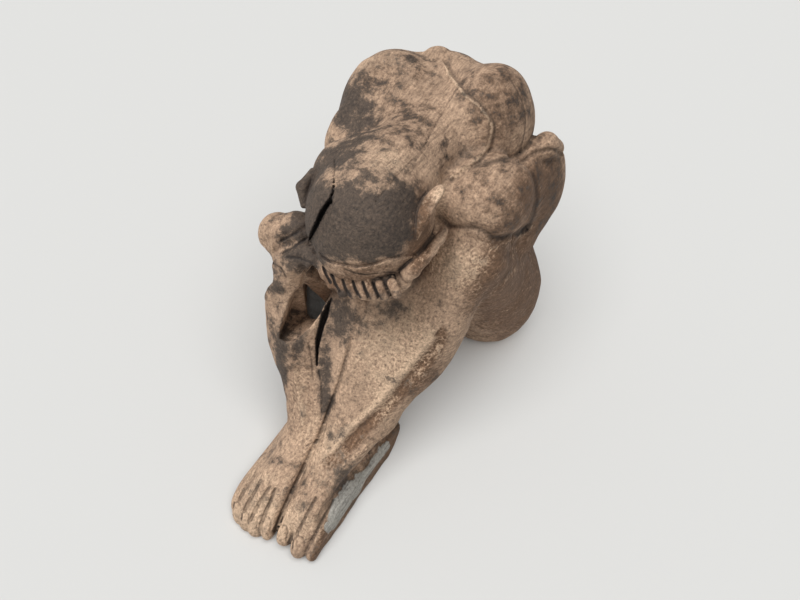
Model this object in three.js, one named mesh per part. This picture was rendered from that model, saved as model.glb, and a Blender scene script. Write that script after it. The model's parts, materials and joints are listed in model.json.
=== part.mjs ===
// Seated praying figure, carved from one block of hardwood.
// The figure sits on the floor with its knees drawn up, the head bowed onto the hands and
// knees, and both feet forward. It looks along -Y, its left side is +X and up is +Z.
// The form is a set of rounded masses, each with a centre, radii and a tilt in millimetres,
// blended softly inside a limb and with a tight crease where two limbs meet.

import * as THREE from "three";

// Mesh fineness
const CELL = 4.7; // spacing of the sampling lattice
const FACES = 9400; // triangles left after thinning the flat and gently curved parts

// Reach of the lattice
const LOW = [-150, -415, -CELL / 2];
const HIGH = [160, 195, 475];

// Trunk and seat
const TRUNK = { at: [0, 82, 224], radii: [102, 96, 176], tilt: 20 };
const LEFT_SHOULDER = { at: [47, 66, 372], radii: [56, 72, 82], tilt: 12 };
const RIGHT_SHOULDER = { at: [-76, 36, 366], radii: [62, 76, 87], tilt: 12 };
const UPPER_BACK = { at: [-22, 90, 382], radii: [66, 52, 56], tilt: 12 };
const NAPE_LUMP = { at: [-39, 90, 432], radii: [18, 16, 13] };
const LAP = { at: [2, -34, 312], radii: [86, 84, 78] };
const BUTTOCK = { x: 64, y: 80, z: 84, radii: [75, 78, 100] };
const LEFT_FLANK = [
  { at: [88, 34, 140], radii: [50, 54, 84] },
  { at: [98, 48, 240], radii: [37, 50, 58] },
  { at: [88, 6, 284], radii: [40, 44, 40] },
  { at: [104, 40, 310], radii: [36, 48, 58] },
];

// Legs: the left one is whole, the right knee is worn down to a knob on a torn stump
const HIP = [74, 60, 105];
const LEFT_KNEE = [94, -72, 286];
const LEFT_ANKLE = [36, -224, 84];
const RIGHT_KNEE_BACK = [-84, -96, 262];
const RIGHT_SHIN_TOP = [-86, -172, 226];
const RIGHT_ANKLE = [-44, -230, 84];
const THIGH_RADIUS = 64;
const LEFT_KNEE_RADIUS = [50, 47];
const RIGHT_KNEE_RADIUS = [46, 44];
const ANKLE_RADIUS = [32, 35];
const LEFT_CALF = { at: [72, -118, 196], radii: [42, 46, 84], tilt: -36 };
const RIGHT_CALF = { at: [-82, -184, 192], radii: [40, 42, 84], tilt: -18 };
const KNOB = { at: [-109, -176, 313], radii: [24, 23, 24], power: 2.3 };
const TORN_WOOD = [[-100, -182, 302], [-72, -182, 310], [-46, -194, 314]];
const TORN_WOOD_RADII = [18, 17, 13];
const STUMP = { from: [-78, -192, 294], to: [-104, -204, 236], radii: [20, 13] };
const KNOB_ROOT = { at: [-84, -168, 326], radii: [24, 20, 20] };

// Edge of the left shin, with the trough that runs beside it
const SHIN_EDGE = [[96, -171, 223], [81, -197, 188], [59, -228, 145], [34, -261, 112]];
const TROUGH_OFFSET = [15, -8, 3];
const TROUGH_RADII = [17, 17, 17, 14];

// Feet: five toes on the right, three left on the sliced left foot
const TOE_START = -330;
const TOES = [
  { x: 12, tip: -398, half: 12, rise: 26 },
  { x: 36.5, tip: -401, half: 11.5, rise: 25 },
  { x: 54.5, tip: -394, half: 8, rise: 22 },
  { x: -10, tip: -401, half: 10.3, rise: 26 },
  { x: -27.5, tip: -403, half: 8.6, rise: 24 },
  { x: -42.5, tip: -399, half: 8, rise: 21 },
  { x: -57.5, tip: -392, half: 8, rise: 18 },
  { x: -71.5, tip: -379, half: 8, rise: 15 },
];
const TOE_HEIGHT = 1.42; // height of a toe over its width
const SLICE_X = 60; // flat side of the cut left foot
const BEVEL_START = 38; // height where that side begins to lean inwards
const BEVEL = 14;

// Arms, rolled sash and hip cloth
const LEFT_ARM = { at: [96, -32, 344], radii: [50, 58, 52], power: 2.5 };
const RIGHT_ARM = { at: [-80, -30, 358], radii: [42, 54, 62] };
const HIP_CLOTH = { at: [106, 90, 284], radii: [38, 54, 68], power: 2.3 };
const SASH = [[94, 40, 346], [108, 62, 356], [120, 84, 360], [125, 98, 348]];
const SASH_RADII = [9, 14, 15, 13];

// Head, neck and the hair that falls over the upper back
const SKULL = { at: [0, -142, 362], radii: [74, 78, 78], tilt: -20 };
const BACK_OF_SKULL = { at: [-30, -110, 378], radii: [60, 56, 52] };
const BROW = { y: 0.35, z: 0.94, level: 213 };
const BROW_STEP = { depth: 2.4, height: 13, lean: 0.28 };
const NECK = { from: [0, -80, 386], to: [12, 40, 382], radii: [47, 43] };
const NAPE_RIDGE = { from: [-22, -62, 390], to: [-46, 46, 396], radii: [30, 33] };
const NECK_SIDE = { at: [50, -62, 364], radii: [22, 30, 22] };
const ARM_VALLEY = { from: [-72, 6, 456], to: [-86, -70, 418], radii: [28, 24] };
const HAIR_STEP = 4;
const HAIR_LOW = 372;
const HAIR_EDGE = [
  [130, -260], [100, -120], [62, -86], [50, -68], [60, -56], [70, -44], [77, -25], [78, -4],
  [73, 12], [57, 18], [36, 21], [11, 41], [-6, 58], [-17, 69], [-32, 81], [-60, 90],
  [-100, 60], [-100, -260],
];
const LEFT_EAR = [[70, -106, 405], [71, -129, 401], [71.5, -145, 393], [70, -156, 378]];
const LEFT_EAR_RADII = [4, 7, 7, 4];
const RIGHT_EAR = [[-76, -142, 396], [-79, -160, 384], [-71, -172, 370]];
const LOBE = [
  [81, -112, 355], [82.5, -126, 352], [81, -142.5, 349], [79, -160, 345], [76, -175, 341],
  [73, -182.5, 338],
];
const LOBE_RADII = [5, 6.5, 7, 7.5, 8, 7.5];

// Hands folded under the brow, with eight finger ends in a shallow arc
const HANDS = { at: [4, -148, 294], radii: [54, 45, 42] };
const FINGER_BACKING = { from: [-26, -186, 305], to: [58, -180, 316], radii: [12, 11] };
const LAST_FINGER_BACKING = { at: [64.7, -181.5, 323.6], radii: [11, 11, 11] };
const FINGERS = [
  [-30, -201, 314], [-17.5, -205, 308.5], [-1.6, -208, 305.7], [11.7, -206, 308.6],
  [24.4, -204.7, 311.6], [36.7, -203, 315.6], [50, -201, 320.2], [64, -198, 327],
];
const FINGER_LEAN = [4.4, -2.45, -2.65]; // from the middle of a finger end to its lower centre
const FINGER_RADIUS = 5.9;

// The worn hollow in the right shin is laid out square to this slanting line of sight
const SIGHT = new THREE.Vector3(0.341, -0.5906, 0.7314);
const ACROSS = new THREE.Vector3(0.866, 0.5, 0);
const ALONG = new THREE.Vector3().crossVectors(SIGHT, ACROSS);
const HOLLOW = [
  [-160, 78], [-164.7, 73.4], [-171.4, 62.5], [-176.3, 47.3], [-183, 31.5], [-186.6, 22.9],
  [-187.8, 12], [-179.3, 8.3], [-169.6, 10.8], [-157.4, 17.5], [-145.3, 30.8], [-134.9, 43.6],
  [-126.4, 59.4], [-117, 75], [-129, 90], [-139, 101], [-150, 94],
];
const HOLLOW_FLOOR = 216; // place of the floor along the sight, where it is deepest
const HOLLOW_MIDDLE = 45;
const POCKET = [
  [-156.4, 84.3], [-157.7, 74.3], [-157.7, 55.7], [-155.8, 43.2], [-151.5, 37.6],
  [-144, 37], [-136.5, 43.9], [-129.7, 55.7], [-137.8, 66.3], [-147.1, 75.6],
];
const POCKET_FLOOR = 190;
const SHIN_BREAK = [
  [-225, 117], [-192.5, 113], [-190.7, 100.5], [-189.4, 88], [-191.3, 82], [-198.7, 75.6],
  [-203.7, 69.4], [-207.5, 62], [-225, 62],
];
const BREAK_FLOOR = 150;

function tilted(degrees) {
  const a = THREE.MathUtils.degToRad(degrees);
  return [Math.cos(a), Math.sin(a)];
}

// Ellipsoid, tilted about the X axis; a power above 2 squares it off
function ellipsoid({ at, radii, tilt = 0, power = 2 }) {
  const [c, s] = tilted(tilt);
  const [rx, ry, rz] = radii;
  const n = power - 1;
  return (x, y, z) => {
    const dx = x - at[0];
    const dy = y - at[1];
    const dz = z - at[2];
    const u = Math.abs(dx / rx) + 1e-6;
    const v = Math.abs((dy * c + dz * s) / ry) + 1e-6;
    const w = Math.abs((dz * c - dy * s) / rz) + 1e-6;
    const k = (u ** power + v ** power + w ** power) ** (1 / power);
    const g = Math.hypot(u ** n / rx, v ** n / ry, w ** n / rz);
    return ((k - 1) * k ** n) / g;
  };
}

// Round bar whose radius changes along its length
function bar(a, b, ra, rb) {
  const e = [b[0] - a[0], b[1] - a[1], b[2] - a[2]];
  const len2 = e[0] * e[0] + e[1] * e[1] + e[2] * e[2];
  return (x, y, z) => {
    const px = x - a[0];
    const py = y - a[1];
    const pz = z - a[2];
    const raw = (px * e[0] + py * e[1] + pz * e[2]) / len2;
    const t = Math.min(Math.max(raw, 0), 1);
    const r = ra + (rb - ra) * t;
    return Math.hypot(px - t * e[0], py - t * e[1], pz - t * e[2]) - r;
  };
}

// Bars through several points, softly joined
function bars(points, radii, soft) {
  const parts = [];
  for (let i = 0; i + 1 < points.length; i += 1) {
    parts.push(bar(points[i], points[i + 1], radii[i], radii[i + 1]));
  }
  return (x, y, z) => parts.reduce((d, part) => blend(d, part(x, y, z), soft), 1e6);
}

function taper({ from, to, radii }) {
  return bar(from, to, radii[0], radii[1]);
}

// Soft union and soft cut
function blend(a, b, soft) {
  const h = Math.max(soft - Math.abs(a - b), 0) / soft;
  return Math.min(a, b) - h * h * soft * 0.25;
}

function carve(a, b, soft) {
  return -blend(-a, -b, soft);
}

function clamp01(t) {
  return Math.min(Math.max(t, 0), 1);
}

function ease(raw) {
  const t = clamp01(raw);
  return t * t * (3 - 2 * t);
}

// The closed outline with its corners cut twice
function rounded(points) {
  let cut = points;
  for (let times = 0; times < 2; times += 1) {
    cut = cut.flatMap(([ax, ay], i) => {
      const [bx, by] = cut[(i + 1) % cut.length];
      return [
        [0.75 * ax + 0.25 * bx, 0.75 * ay + 0.25 * by],
        [0.25 * ax + 0.75 * bx, 0.25 * ay + 0.75 * by],
      ];
    });
  }
  return cut;
}

// Signed distance to a closed outline, negative inside
function outline(points) {
  return (x, y) => {
    let best = 1e12;
    let inside = false;
    for (let i = 0; i < points.length; i += 1) {
      const [ax, ay] = points[i];
      const [bx, by] = points[(i + 1) % points.length];
      const ex = bx - ax;
      const ey = by - ay;
      const t = clamp01(((x - ax) * ex + (y - ay) * ey) / (ex * ex + ey * ey));
      best = Math.min(best, (x - ax - ex * t) ** 2 + (y - ay - ey * t) ** 2);
      if (ay > y !== by > y && x < (ex * (y - ay)) / ey + ax) {
        inside = !inside;
      }
    }
    return inside ? -Math.sqrt(best) : Math.sqrt(best);
  };
}

const trunk = ellipsoid(TRUNK);
const leftShoulder = ellipsoid(LEFT_SHOULDER);
const rightShoulder = ellipsoid(RIGHT_SHOULDER);
const upperBack = ellipsoid(UPPER_BACK);
const lap = ellipsoid(LAP);
const leftFlank = LEFT_FLANK.map(ellipsoid);
const napeLump = ellipsoid(NAPE_LUMP);
const buttocks = [1, -1].map((side) =>
  ellipsoid({ at: [side * BUTTOCK.x, BUTTOCK.y, BUTTOCK.z], radii: BUTTOCK.radii }),
);

function back(x, y, z) {
  let d = trunk(x, y, z);
  d = blend(d, leftShoulder(x, y, z), 26);
  d = blend(d, rightShoulder(x, y, z), 22);
  d = blend(d, upperBack(x, y, z), 22);
  for (const buttock of buttocks) {
    d = blend(d, buttock(x, y, z), 36);
  }
  return d;
}

const leftThigh = bar(HIP, LEFT_KNEE, THIGH_RADIUS, LEFT_KNEE_RADIUS[0]);
const leftShin = bar(LEFT_KNEE, LEFT_ANKLE, LEFT_KNEE_RADIUS[1], ANKLE_RADIUS[0]);
const leftCalf = ellipsoid(LEFT_CALF);
const rightHip = [-HIP[0], HIP[1], HIP[2]];
const rightThigh = bar(rightHip, RIGHT_KNEE_BACK, THIGH_RADIUS, RIGHT_KNEE_RADIUS[0]);
const rightShin = bar(RIGHT_SHIN_TOP, RIGHT_ANKLE, RIGHT_KNEE_RADIUS[1], ANKLE_RADIUS[1]);
const rightCalf = ellipsoid(RIGHT_CALF);
const betweenShins = bar([2, -122, 246], [4, -222, 98], 50, 38);
const knobNeck = bar([-98, -176, 290], [-84, -172, 258], 15, 22);

function legs(x, y, z) {
  let left = blend(leftThigh(x, y, z), leftShin(x, y, z), 10);
  left = blend(left, leftCalf(x, y, z), 26);
  let right = blend(rightThigh(x, y, z), rightShin(x, y, z), 10);
  right = blend(right, rightCalf(x, y, z), 26);
  let d = blend(left, right, 8);
  d = blend(d, betweenShins(x, y, z), 30);
  return blend(d, knobNeck(x, y, z), 6);
}

const toes = TOES.map(({ x, tip, half, rise }) => {
  const tall = TOE_HEIGHT * half;
  return {
    x,
    narrow: TOE_HEIGHT,
    form: bar([0, TOE_START, rise + 4], [0, tip + tall, tall], rise, tall),
  };
});
const leftInstep = bars([[30, -218, 84], [32, -270, 54], [32, -345, 34]], [38, 42, 30], 16);
const leftSole = bar([38, -214, 36], [36, -345, 24], 42, 28);
const rightInstep = bars([[-26, -224, 84], [-24, -276, 50], [-30, -345, 30]], [33, 34, 27], 16);
const rightSole = ellipsoid({ at: [-41, -292, 10], radii: [43, 102, 27], power: 3 });
const rightHeel = bar([-44, -214, 34], [-40, -330, 22], 36, 24);

function feet(x, y, z) {
  let d = 1e6;
  const spread = 0.8 + 0.2 * clamp01((-y - 250) / 150);
  for (const toe of toes) {
    d = blend(d, toe.form((x - toe.x * spread) * toe.narrow, y, z) * 0.75, 2);
  }
  const right = blend(rightInstep(x, y, z), rightSole(x, y, z), 16);
  d = blend(d, blend(leftInstep(x, y, z), leftSole(x, y, z), 16), 12);
  return blend(d, blend(right, rightHeel(x, y, z), 12), 12);
}

// The outer side of the left foot is sliced off flat, with a lean above the sole
function sliced(x, y, z, d) {
  const side = x - SLICE_X + Math.min(Math.max(z - BEVEL_START, 0), BEVEL);
  const share = clamp01((-172 - y) / 14) * clamp01((92 - z) / 34);
  return share > 0 ? d * (1 - share) + carve(d, side, 2) * share : d;
}

const leftArm = ellipsoid(LEFT_ARM);
const rightArm = ellipsoid(RIGHT_ARM);
const hipCloth = ellipsoid(HIP_CLOTH);
const sash = bars(SASH, SASH_RADII, 8);

const skull = ellipsoid(SKULL);
const backOfSkull = ellipsoid(BACK_OF_SKULL);
const neck = taper(NECK);
const napeRidge = taper(NAPE_RIDGE);
const hairEdge = outline(rounded(HAIR_EDGE));

function head(x, y, z) {
  const brow = BROW.level - BROW.y * y - BROW.z * z;
  let d = carve(blend(skull(x, y, z), backOfSkull(x, y, z), 10), brow, 8);
  const under = (brow + BROW_STEP.height + BROW_STEP.lean * x) / 4;
  d += BROW_STEP.depth * clamp01(under) * clamp01((-90 - y) / 20);
  d = blend(d, neck(x, y, z), 26);
  return blend(d, napeRidge(x, y, z), 14);
}

const neckSide = ellipsoid(NECK_SIDE);
const armValley = taper(ARM_VALLEY);
const tornWood = bars(TORN_WOOD, TORN_WOOD_RADII, 10);
const stump = taper(STUMP);
const knobRoot = ellipsoid(KNOB_ROOT);
const knob = ellipsoid(KNOB);

// The worn hollow in the right shin, with a deep pocket, and the break above it
const hollowOutline = outline(HOLLOW);
const pocketOutline = outline(POCKET);
const breakOutline = outline(SHIN_BREAK);

function hollow(x, y, z) {
  const a = ACROSS.x * x + ACROSS.y * y + ACROSS.z * z;
  const b = ALONG.x * x + ALONG.y * y + ALONG.z * z;
  const w = SIGHT.x * x + SIGHT.y * y + SIGHT.z * z;
  const rise = b < HOLLOW_MIDDLE ? 0.8 * (HOLLOW_MIDDLE - b) : 1.6 * (b - HOLLOW_MIDDLE);
  const mouth = Math.max(hollowOutline(a, b), HOLLOW_FLOOR + rise - w);
  const pocket = Math.max(pocketOutline(a, b), POCKET_FLOOR - w);
  const missing = Math.max(breakOutline(a, b), BREAK_FLOOR - w);
  return Math.min(mouth, pocket, missing);
}

const hands = ellipsoid(HANDS);
const fingerBacking = taper(FINGER_BACKING);
const lastFingerBacking = ellipsoid(LAST_FINGER_BACKING);
const fingers = FINGERS.map((middle) => bar(
  middle.map((value, i) => value - FINGER_LEAN[i]),
  middle.map((value, i) => value + FINGER_LEAN[i]),
  FINGER_RADIUS,
  FINGER_RADIUS,
));
const leftEar = bars(LEFT_EAR, LEFT_EAR_RADII, 3);
const rightEar = bars(RIGHT_EAR, [5, 8, 5], 3);
const lobe = bars(LOBE, LOBE_RADII, 3);
const shinTrough = bars(
  SHIN_EDGE.map((point) => point.map((value, i) => value + TROUGH_OFFSET[i])),
  TROUGH_RADII,
  4,
);

// Middle line between the shins and feet, as places across from the heels to the toes
const MIDDLE = [
  [-400, 0], [-372, -2], [-330, -3], [-312, -4], [-275, -2], [-260, -1], [-248, 0], [-233, 4],
  [-206, 5], [-180, 8],
];

function middleLine(x, y, z) {
  const reach = clamp01((282 - z) / 12) * clamp01((-80 - y) / 30);
  if (reach === 0) {
    return 0;
  }
  let at = y < MIDDLE[0][0] ? MIDDLE[0][1] : MIDDLE[MIDDLE.length - 1][1];
  for (let i = 0; i + 1 < MIDDLE.length; i += 1) {
    const [y0, x0] = MIDDLE[i];
    const [y1, x1] = MIDDLE[i + 1];
    if (y >= y0 && y < y1) {
      at = x0 + ((x1 - x0) * (y - y0)) / (y1 - y0);
    }
  }
  return 4 * reach * Math.exp(-(((x - at) / 6) ** 2));
}

// The whole figure: negative inside the wood, positive outside
function figure(x, y, z) {
  let d = back(x, y, z);
  d = blend(d, sliced(x, y, z, blend(legs(x, y, z), feet(x, y, z), 24)), 22);
  d = blend(d, lap(x, y, z), 8);
  for (const mass of leftFlank) {
    d = blend(d, mass(x, y, z), 12);
  }
  d = blend(d, leftArm(x, y, z), 7);
  d = blend(d, rightArm(x, y, z), 10);
  d = blend(d, hipCloth(x, y, z), 12);
  d = blend(d, sash(x, y, z), 4);
  d = blend(d, napeLump(x, y, z), 5);
  d = blend(d, head(x, y, z), 4 + 26 * clamp01((y + 60) / 60));
  d = blend(d, neckSide(x, y, z), 8);
  d = carve(d, -armValley(x, y, z), 16);
  d = blend(d, tornWood(x, y, z), 12);
  d = blend(d, stump(x, y, z), 14);
  d = blend(d, knobRoot(x, y, z), 10);
  d = blend(d, knob(x, y, z), 8);
  d = carve(d, -hollow(x, y, z), 3);
  d = blend(d, hands(x, y, z), 8);
  d = blend(d, fingerBacking(x, y, z), 6);
  for (const finger of fingers) {
    d = blend(d, finger(x, y, z), 1);
  }
  d = blend(d, lastFingerBacking(x, y, z), 4);
  d = carve(d, -shinTrough(x, y, z), 5);
  d = blend(d, leftEar(x, y, z), 3);
  d = blend(d, rightEar(x, y, z), 3);
  d = blend(d, lobe(x, y, z), 3);
  const cover = ease(0.5 - hairEdge(x, y) / 9) * clamp01((z - HAIR_LOW) / 12);
  d -= HAIR_STEP * cover * ease((x + 36) / 20) * ease((y + 120) / 50);
  d += middleLine(x, y, z);
  return Math.max(d, -z);
}

// Moves a point near the skin onto it, by at most a third of a cell
function settled([x, y, z]) {
  const h = 0.2;
  const d = figure(x, y, z);
  const slope = [
    (figure(x + h, y, z) - d) / h,
    (figure(x, y + h, z) - d) / h,
    (figure(x, y, z + h) - d) / h,
  ];
  const steep = Math.max(dot3(slope, slope), 0.2);
  const move = Math.min(Math.max(d / steep, -0.34 * CELL), 0.34 * CELL);
  return [x - slope[0] * move, y - slope[1] * move, z - slope[2] * move];
}

// Sample the form on a lattice and skin it through six tetrahedra per cell
function skin() {
  const n = LOW.map((low, i) => Math.ceil((HIGH[i] - low) / CELL) + 1);
  const stride = [1, n[0], n[0] * n[1]];
  const field = new Float64Array(n[0] * n[1] * n[2]);
  for (let k = 0; k < n[2]; k += 1) {
    for (let j = 0; j < n[1]; j += 1) {
      for (let i = 0; i < n[0]; i += 1) {
        const d = figure(LOW[0] + i * CELL, LOW[1] + j * CELL, LOW[2] + k * CELL);
        field[i + j * stride[1] + k * stride[2]] = Math.abs(d) < 0.02 ? 0.02 : d;
      }
    }
  }
  const corner = [];
  for (let c = 0; c < 8; c += 1) {
    corner.push((c & 1) * stride[0] + ((c >> 1) & 1) * stride[1] + ((c >> 2) & 1) * stride[2]);
  }
  const tets = [
    [0, 1, 3, 7], [0, 3, 2, 7], [0, 2, 6, 7], [0, 6, 4, 7], [0, 4, 5, 7], [0, 5, 1, 7],
  ];
  const points = [];
  const faces = [];
  const known = new Map();
  const place = (index) => [
    LOW[0] + (index % n[0]) * CELL,
    LOW[1] + (Math.floor(index / stride[1]) % n[1]) * CELL,
    LOW[2] + Math.floor(index / stride[2]) * CELL,
  ];
  const cross = (a, b) => {
    const lo = Math.min(a, b);
    const hi = Math.max(a, b);
    const key = lo * 4194304 + (hi - lo);
    if (!known.has(key)) {
      const t = Math.min(Math.max(field[lo] / (field[lo] - field[hi]), 0.2), 0.8);
      const p = place(lo);
      const q = place(hi);
      const point = p.map((v, i) => v + (q[i] - v) * t);
      known.set(key, points.length);
      points.push(point);
    }
    return known.get(key);
  };
  const cell = (base) => {
    for (const tet of tets) {
      const v = tet.map((c) => base + corner[c]);
      const inside = v.filter((index) => field[index] < 0);
      const outside = v.filter((index) => field[index] >= 0);
      if (inside.length === 0 || outside.length === 0) {
        continue;
      }
      if (inside.length === 1 || outside.length === 1) {
        const lone = inside.length === 1 ? inside[0] : outside[0];
        const rest = inside.length === 1 ? outside : inside;
        faces.push(facing([cross(lone, rest[0]), cross(lone, rest[1]), cross(lone, rest[2])], v));
      } else {
        const a = cross(inside[0], outside[0]);
        const b = cross(inside[0], outside[1]);
        const c = cross(inside[1], outside[1]);
        const d = cross(inside[1], outside[0]);
        faces.push(facing([a, b, c], v), facing([a, c, d], v));
      }
    }
  };
  // Turns a face so that it looks from the wood to the air
  const facing = (face, v) => {
    const [a, b, c] = face.map((index) => points[index]);
    const normal = cross3(sub3(b, a), sub3(c, a));
    let slope = 0;
    for (const index of v) {
      slope += field[index] * dot3(normal, sub3(place(index), a));
    }
    return slope < 0 ? [face[0], face[2], face[1]] : face;
  };
  for (let k = 0; k + 1 < n[2]; k += 1) {
    for (let j = 0; j + 1 < n[1]; j += 1) {
      for (let i = 0; i + 1 < n[0]; i += 1) {
        const base = i + j * stride[1] + k * stride[2];
        let low = 0;
        for (let c = 0; c < 8; c += 1) {
          low += field[base + corner[c]] < 0 ? 1 : 0;
        }
        if (low > 0 && low < 8) {
          cell(base);
        }
      }
    }
  }
  return { points: points.map((p) => (p[2] < 0.4 * CELL ? p : settled(p))), faces };
}

function sub3(a, b) {
  return [a[0] - b[0], a[1] - b[1], a[2] - b[2]];
}

function cross3(a, b) {
  return [a[1] * b[2] - a[2] * b[1], a[2] * b[0] - a[0] * b[2], a[0] * b[1] - a[1] * b[0]];
}

function dot3(a, b) {
  return a[0] * b[0] + a[1] * b[1] + a[2] * b[2];
}

// Thins the skin by folding up its cheapest edges, where cheap means that the folded surface
// stays on the planes of the faces around it. The underside stays exactly flat.
function thin({ points, faces }, target) {
  const count = points.length;
  const sole = points.map((p) => p[2] < 0.4 * CELL);
  points.forEach((p, i) => {
    p[2] = sole[i] ? 0 : p[2];
  });
  const around = Array.from({ length: count }, () => new Set());
  faces.forEach((face, f) => face.forEach((v) => around[v].add(f)));
  const planes = new Float64Array(count * 10);
  const addPlane = (v, n, d, weight) => {
    const row = [n[0], n[1], n[2], d];
    let slot = v * 10;
    for (let i = 0; i < 4; i += 1) {
      for (let j = i; j < 4; j += 1) {
        planes[slot] += weight * row[i] * row[j];
        slot += 1;
      }
    }
  };
  const normalOf = (a, b, c) => cross3(sub3(b, a), sub3(c, a));
  for (const face of faces) {
    const [a, b, c] = face.map((v) => points[v]);
    const n = normalOf(a, b, c);
    const area = Math.sqrt(dot3(n, n));
    if (area > 1e-9) {
      const unit = n.map((value) => value / area);
      face.forEach((v) => addPlane(v, unit, -dot3(unit, a), area));
    }
  }
  const errorAt = (q, p) =>
    q[0] * p[0] * p[0] + 2 * q[1] * p[0] * p[1] + 2 * q[2] * p[0] * p[2] + 2 * q[3] * p[0] +
    q[4] * p[1] * p[1] + 2 * q[5] * p[1] * p[2] + 2 * q[6] * p[1] +
    q[7] * p[2] * p[2] + 2 * q[8] * p[2] + q[9];
  const sum = (a, b) => {
    const q = new Float64Array(10);
    for (let i = 0; i < 10; i += 1) {
      q[i] = planes[a * 10 + i] + planes[b * 10 + i];
    }
    return q;
  };
  // Best place for the folded edge: the meeting point of its planes, or one of three points
  const bestPlace = (a, b) => {
    const q = sum(a, b);
    const pa = points[a];
    const pb = points[b];
    const mid = pa.map((value, i) => (value + pb[i]) / 2);
    const span = Math.sqrt(dot3(sub3(pa, pb), sub3(pa, pb)));
    let choices = [mid, pa, pb];
    if (sole[a] !== sole[b]) {
      choices = [sole[a] ? pa : pb];
    } else if (!sole[a]) {
      const m = new THREE.Matrix3().set(q[0], q[1], q[2], q[1], q[4], q[5], q[2], q[5], q[7]);
      const size = (q[0] + q[4] + q[7]) / 3;
      if (Math.abs(m.determinant()) > 1e-4 * size ** 3) {
        const meet = new THREE.Vector3(-q[3], -q[6], -q[8]).applyMatrix3(m.invert()).toArray();
        if (Math.sqrt(dot3(sub3(meet, mid), sub3(meet, mid))) < 1.5 * span) {
          choices.push(meet);
        }
      }
    }
    let best = null;
    for (const place of choices) {
      const cost = Math.max(errorAt(q, place), 0) + 0.002 * span * span;
      if (best === null || cost < best.cost) {
        best = { cost, place };
      }
    }
    return best;
  };
  const stamp = new Int32Array(count);
  const heap = [];
  const swap = (i, j) => {
    [heap[i], heap[j]] = [heap[j], heap[i]];
  };
  const push = (item) => {
    heap.push(item);
    let i = heap.length - 1;
    while (i > 0 && heap[(i - 1) >> 1].cost > heap[i].cost) {
      swap(i, (i - 1) >> 1);
      i = (i - 1) >> 1;
    }
  };
  const pop = () => {
    const top = heap[0];
    const last = heap.pop();
    if (heap.length > 0) {
      heap[0] = last;
      let i = 0;
      for (;;) {
        let least = i;
        for (const child of [2 * i + 1, 2 * i + 2]) {
          if (child < heap.length && heap[child].cost < heap[least].cost) {
            least = child;
          }
        }
        if (least === i) {
          break;
        }
        swap(i, least);
        i = least;
      }
    }
    return top;
  };
  const offer = (a, b) => {
    const { cost, place } = bestPlace(a, b);
    push({ cost, place, a, b, sa: stamp[a], sb: stamp[b] });
  };
  const neighbours = (v) => {
    const found = new Set();
    for (const f of around[v]) {
      for (const w of faces[f]) {
        if (w !== v) {
          found.add(w);
        }
      }
    }
    return found;
  };
  const longestEdge = (corners) =>
    Math.max(
      ...corners.map((p, i) => dot3(sub3(p, corners[(i + 1) % 3]), sub3(p, corners[(i + 1) % 3]))),
    );
  // A fold is refused when it would turn a face over, make a needle or pinch the skin
  const allowed = (v, other, place) => {
    for (const f of around[v]) {
      const face = faces[f];
      if (face.includes(other)) {
        continue;
      }
      const before = face.map((w) => points[w]);
      const after = face.map((w) => (w === v ? place : points[w]));
      const n0 = normalOf(...before);
      const n1 = normalOf(...after);
      const l0 = Math.sqrt(dot3(n0, n0));
      const l1 = Math.sqrt(dot3(n1, n1));
      const slim = l1 / longestEdge(after);
      if (slim < 0.08 && slim < l0 / longestEdge(before)) {
        return false;
      }
      if (l0 > 0.03 * CELL * CELL && dot3(n0, n1) < 0.3 * l0 * l1) {
        return false;
      }
    }
    return true;
  };
  const offerAll = () => {
    for (const face of faces) {
      if (face !== null) {
        face.forEach((v, i) => {
          if (v < face[(i + 1) % 3]) {
            offer(v, face[(i + 1) % 3]);
          }
        });
      }
    }
  };
  let left = faces.length;
  let round = 0;
  while (left > target && round < 12) {
    if (heap.length === 0) {
      offerAll();
      round += 1;
    }
    const { a, b, sa, sb, place } = pop();
    if (stamp[a] !== sa || stamp[b] !== sb || sa < 0 || sb < 0) {
      continue;
    }
    const na = neighbours(a);
    const nb = neighbours(b);
    const shared = [...na].filter((v) => nb.has(v)).length;
    if (shared !== 2 || !allowed(a, b, place) || !allowed(b, a, place)) {
      continue;
    }
    points[a] = place.slice();
    sole[a] = sole[a] || sole[b];
    for (const f of [...around[b]]) {
      if (faces[f].includes(a)) {
        faces[f].forEach((v) => around[v].delete(f));
        faces[f] = null;
        left -= 1;
      } else {
        faces[f] = faces[f].map((v) => (v === b ? a : v));
        around[a].add(f);
      }
    }
    for (let i = 0; i < 10; i += 1) {
      planes[a * 10 + i] += planes[b * 10 + i];
    }
    around[b].clear();
    stamp[b] = -1;
    stamp[a] += 1;
    for (const v of neighbours(a)) {
      offer(a, v);
    }
  }
  return { points, faces: faces.filter((face) => face !== null) };
}

function solid() {
  const { points, faces } = thin(skin(), FACES);
  const used = new Map();
  const position = [];
  const index = [];
  for (const face of faces) {
    for (const v of face) {
      if (!used.has(v)) {
        used.set(v, used.size);
        position.push(...points[v]);
      }
      index.push(used.get(v));
    }
  }
  const geometry = new THREE.BufferGeometry();
  geometry.setAttribute("position", new THREE.Float32BufferAttribute(position, 3));
  geometry.setIndex(index);
  geometry.computeBoundingBox();
  const { min, max } = geometry.boundingBox;
  geometry.translate(-(min.x + max.x) / 2, -(min.y + max.y) / 2, -min.z);
  geometry.computeVertexNormals();
  return geometry;
}

const wood = new THREE.MeshStandardMaterial({
  name: "weathered_wood",
  color: 0x86705a,
  roughness: 0.85,
  metalness: 0,
});
const carving = new THREE.Mesh(solid(), wood);
carving.name = "praying_figure";

const part = new THREE.Group();
part.name = "praying_buddha_figure";
part.add(carving);

export default part;
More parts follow.
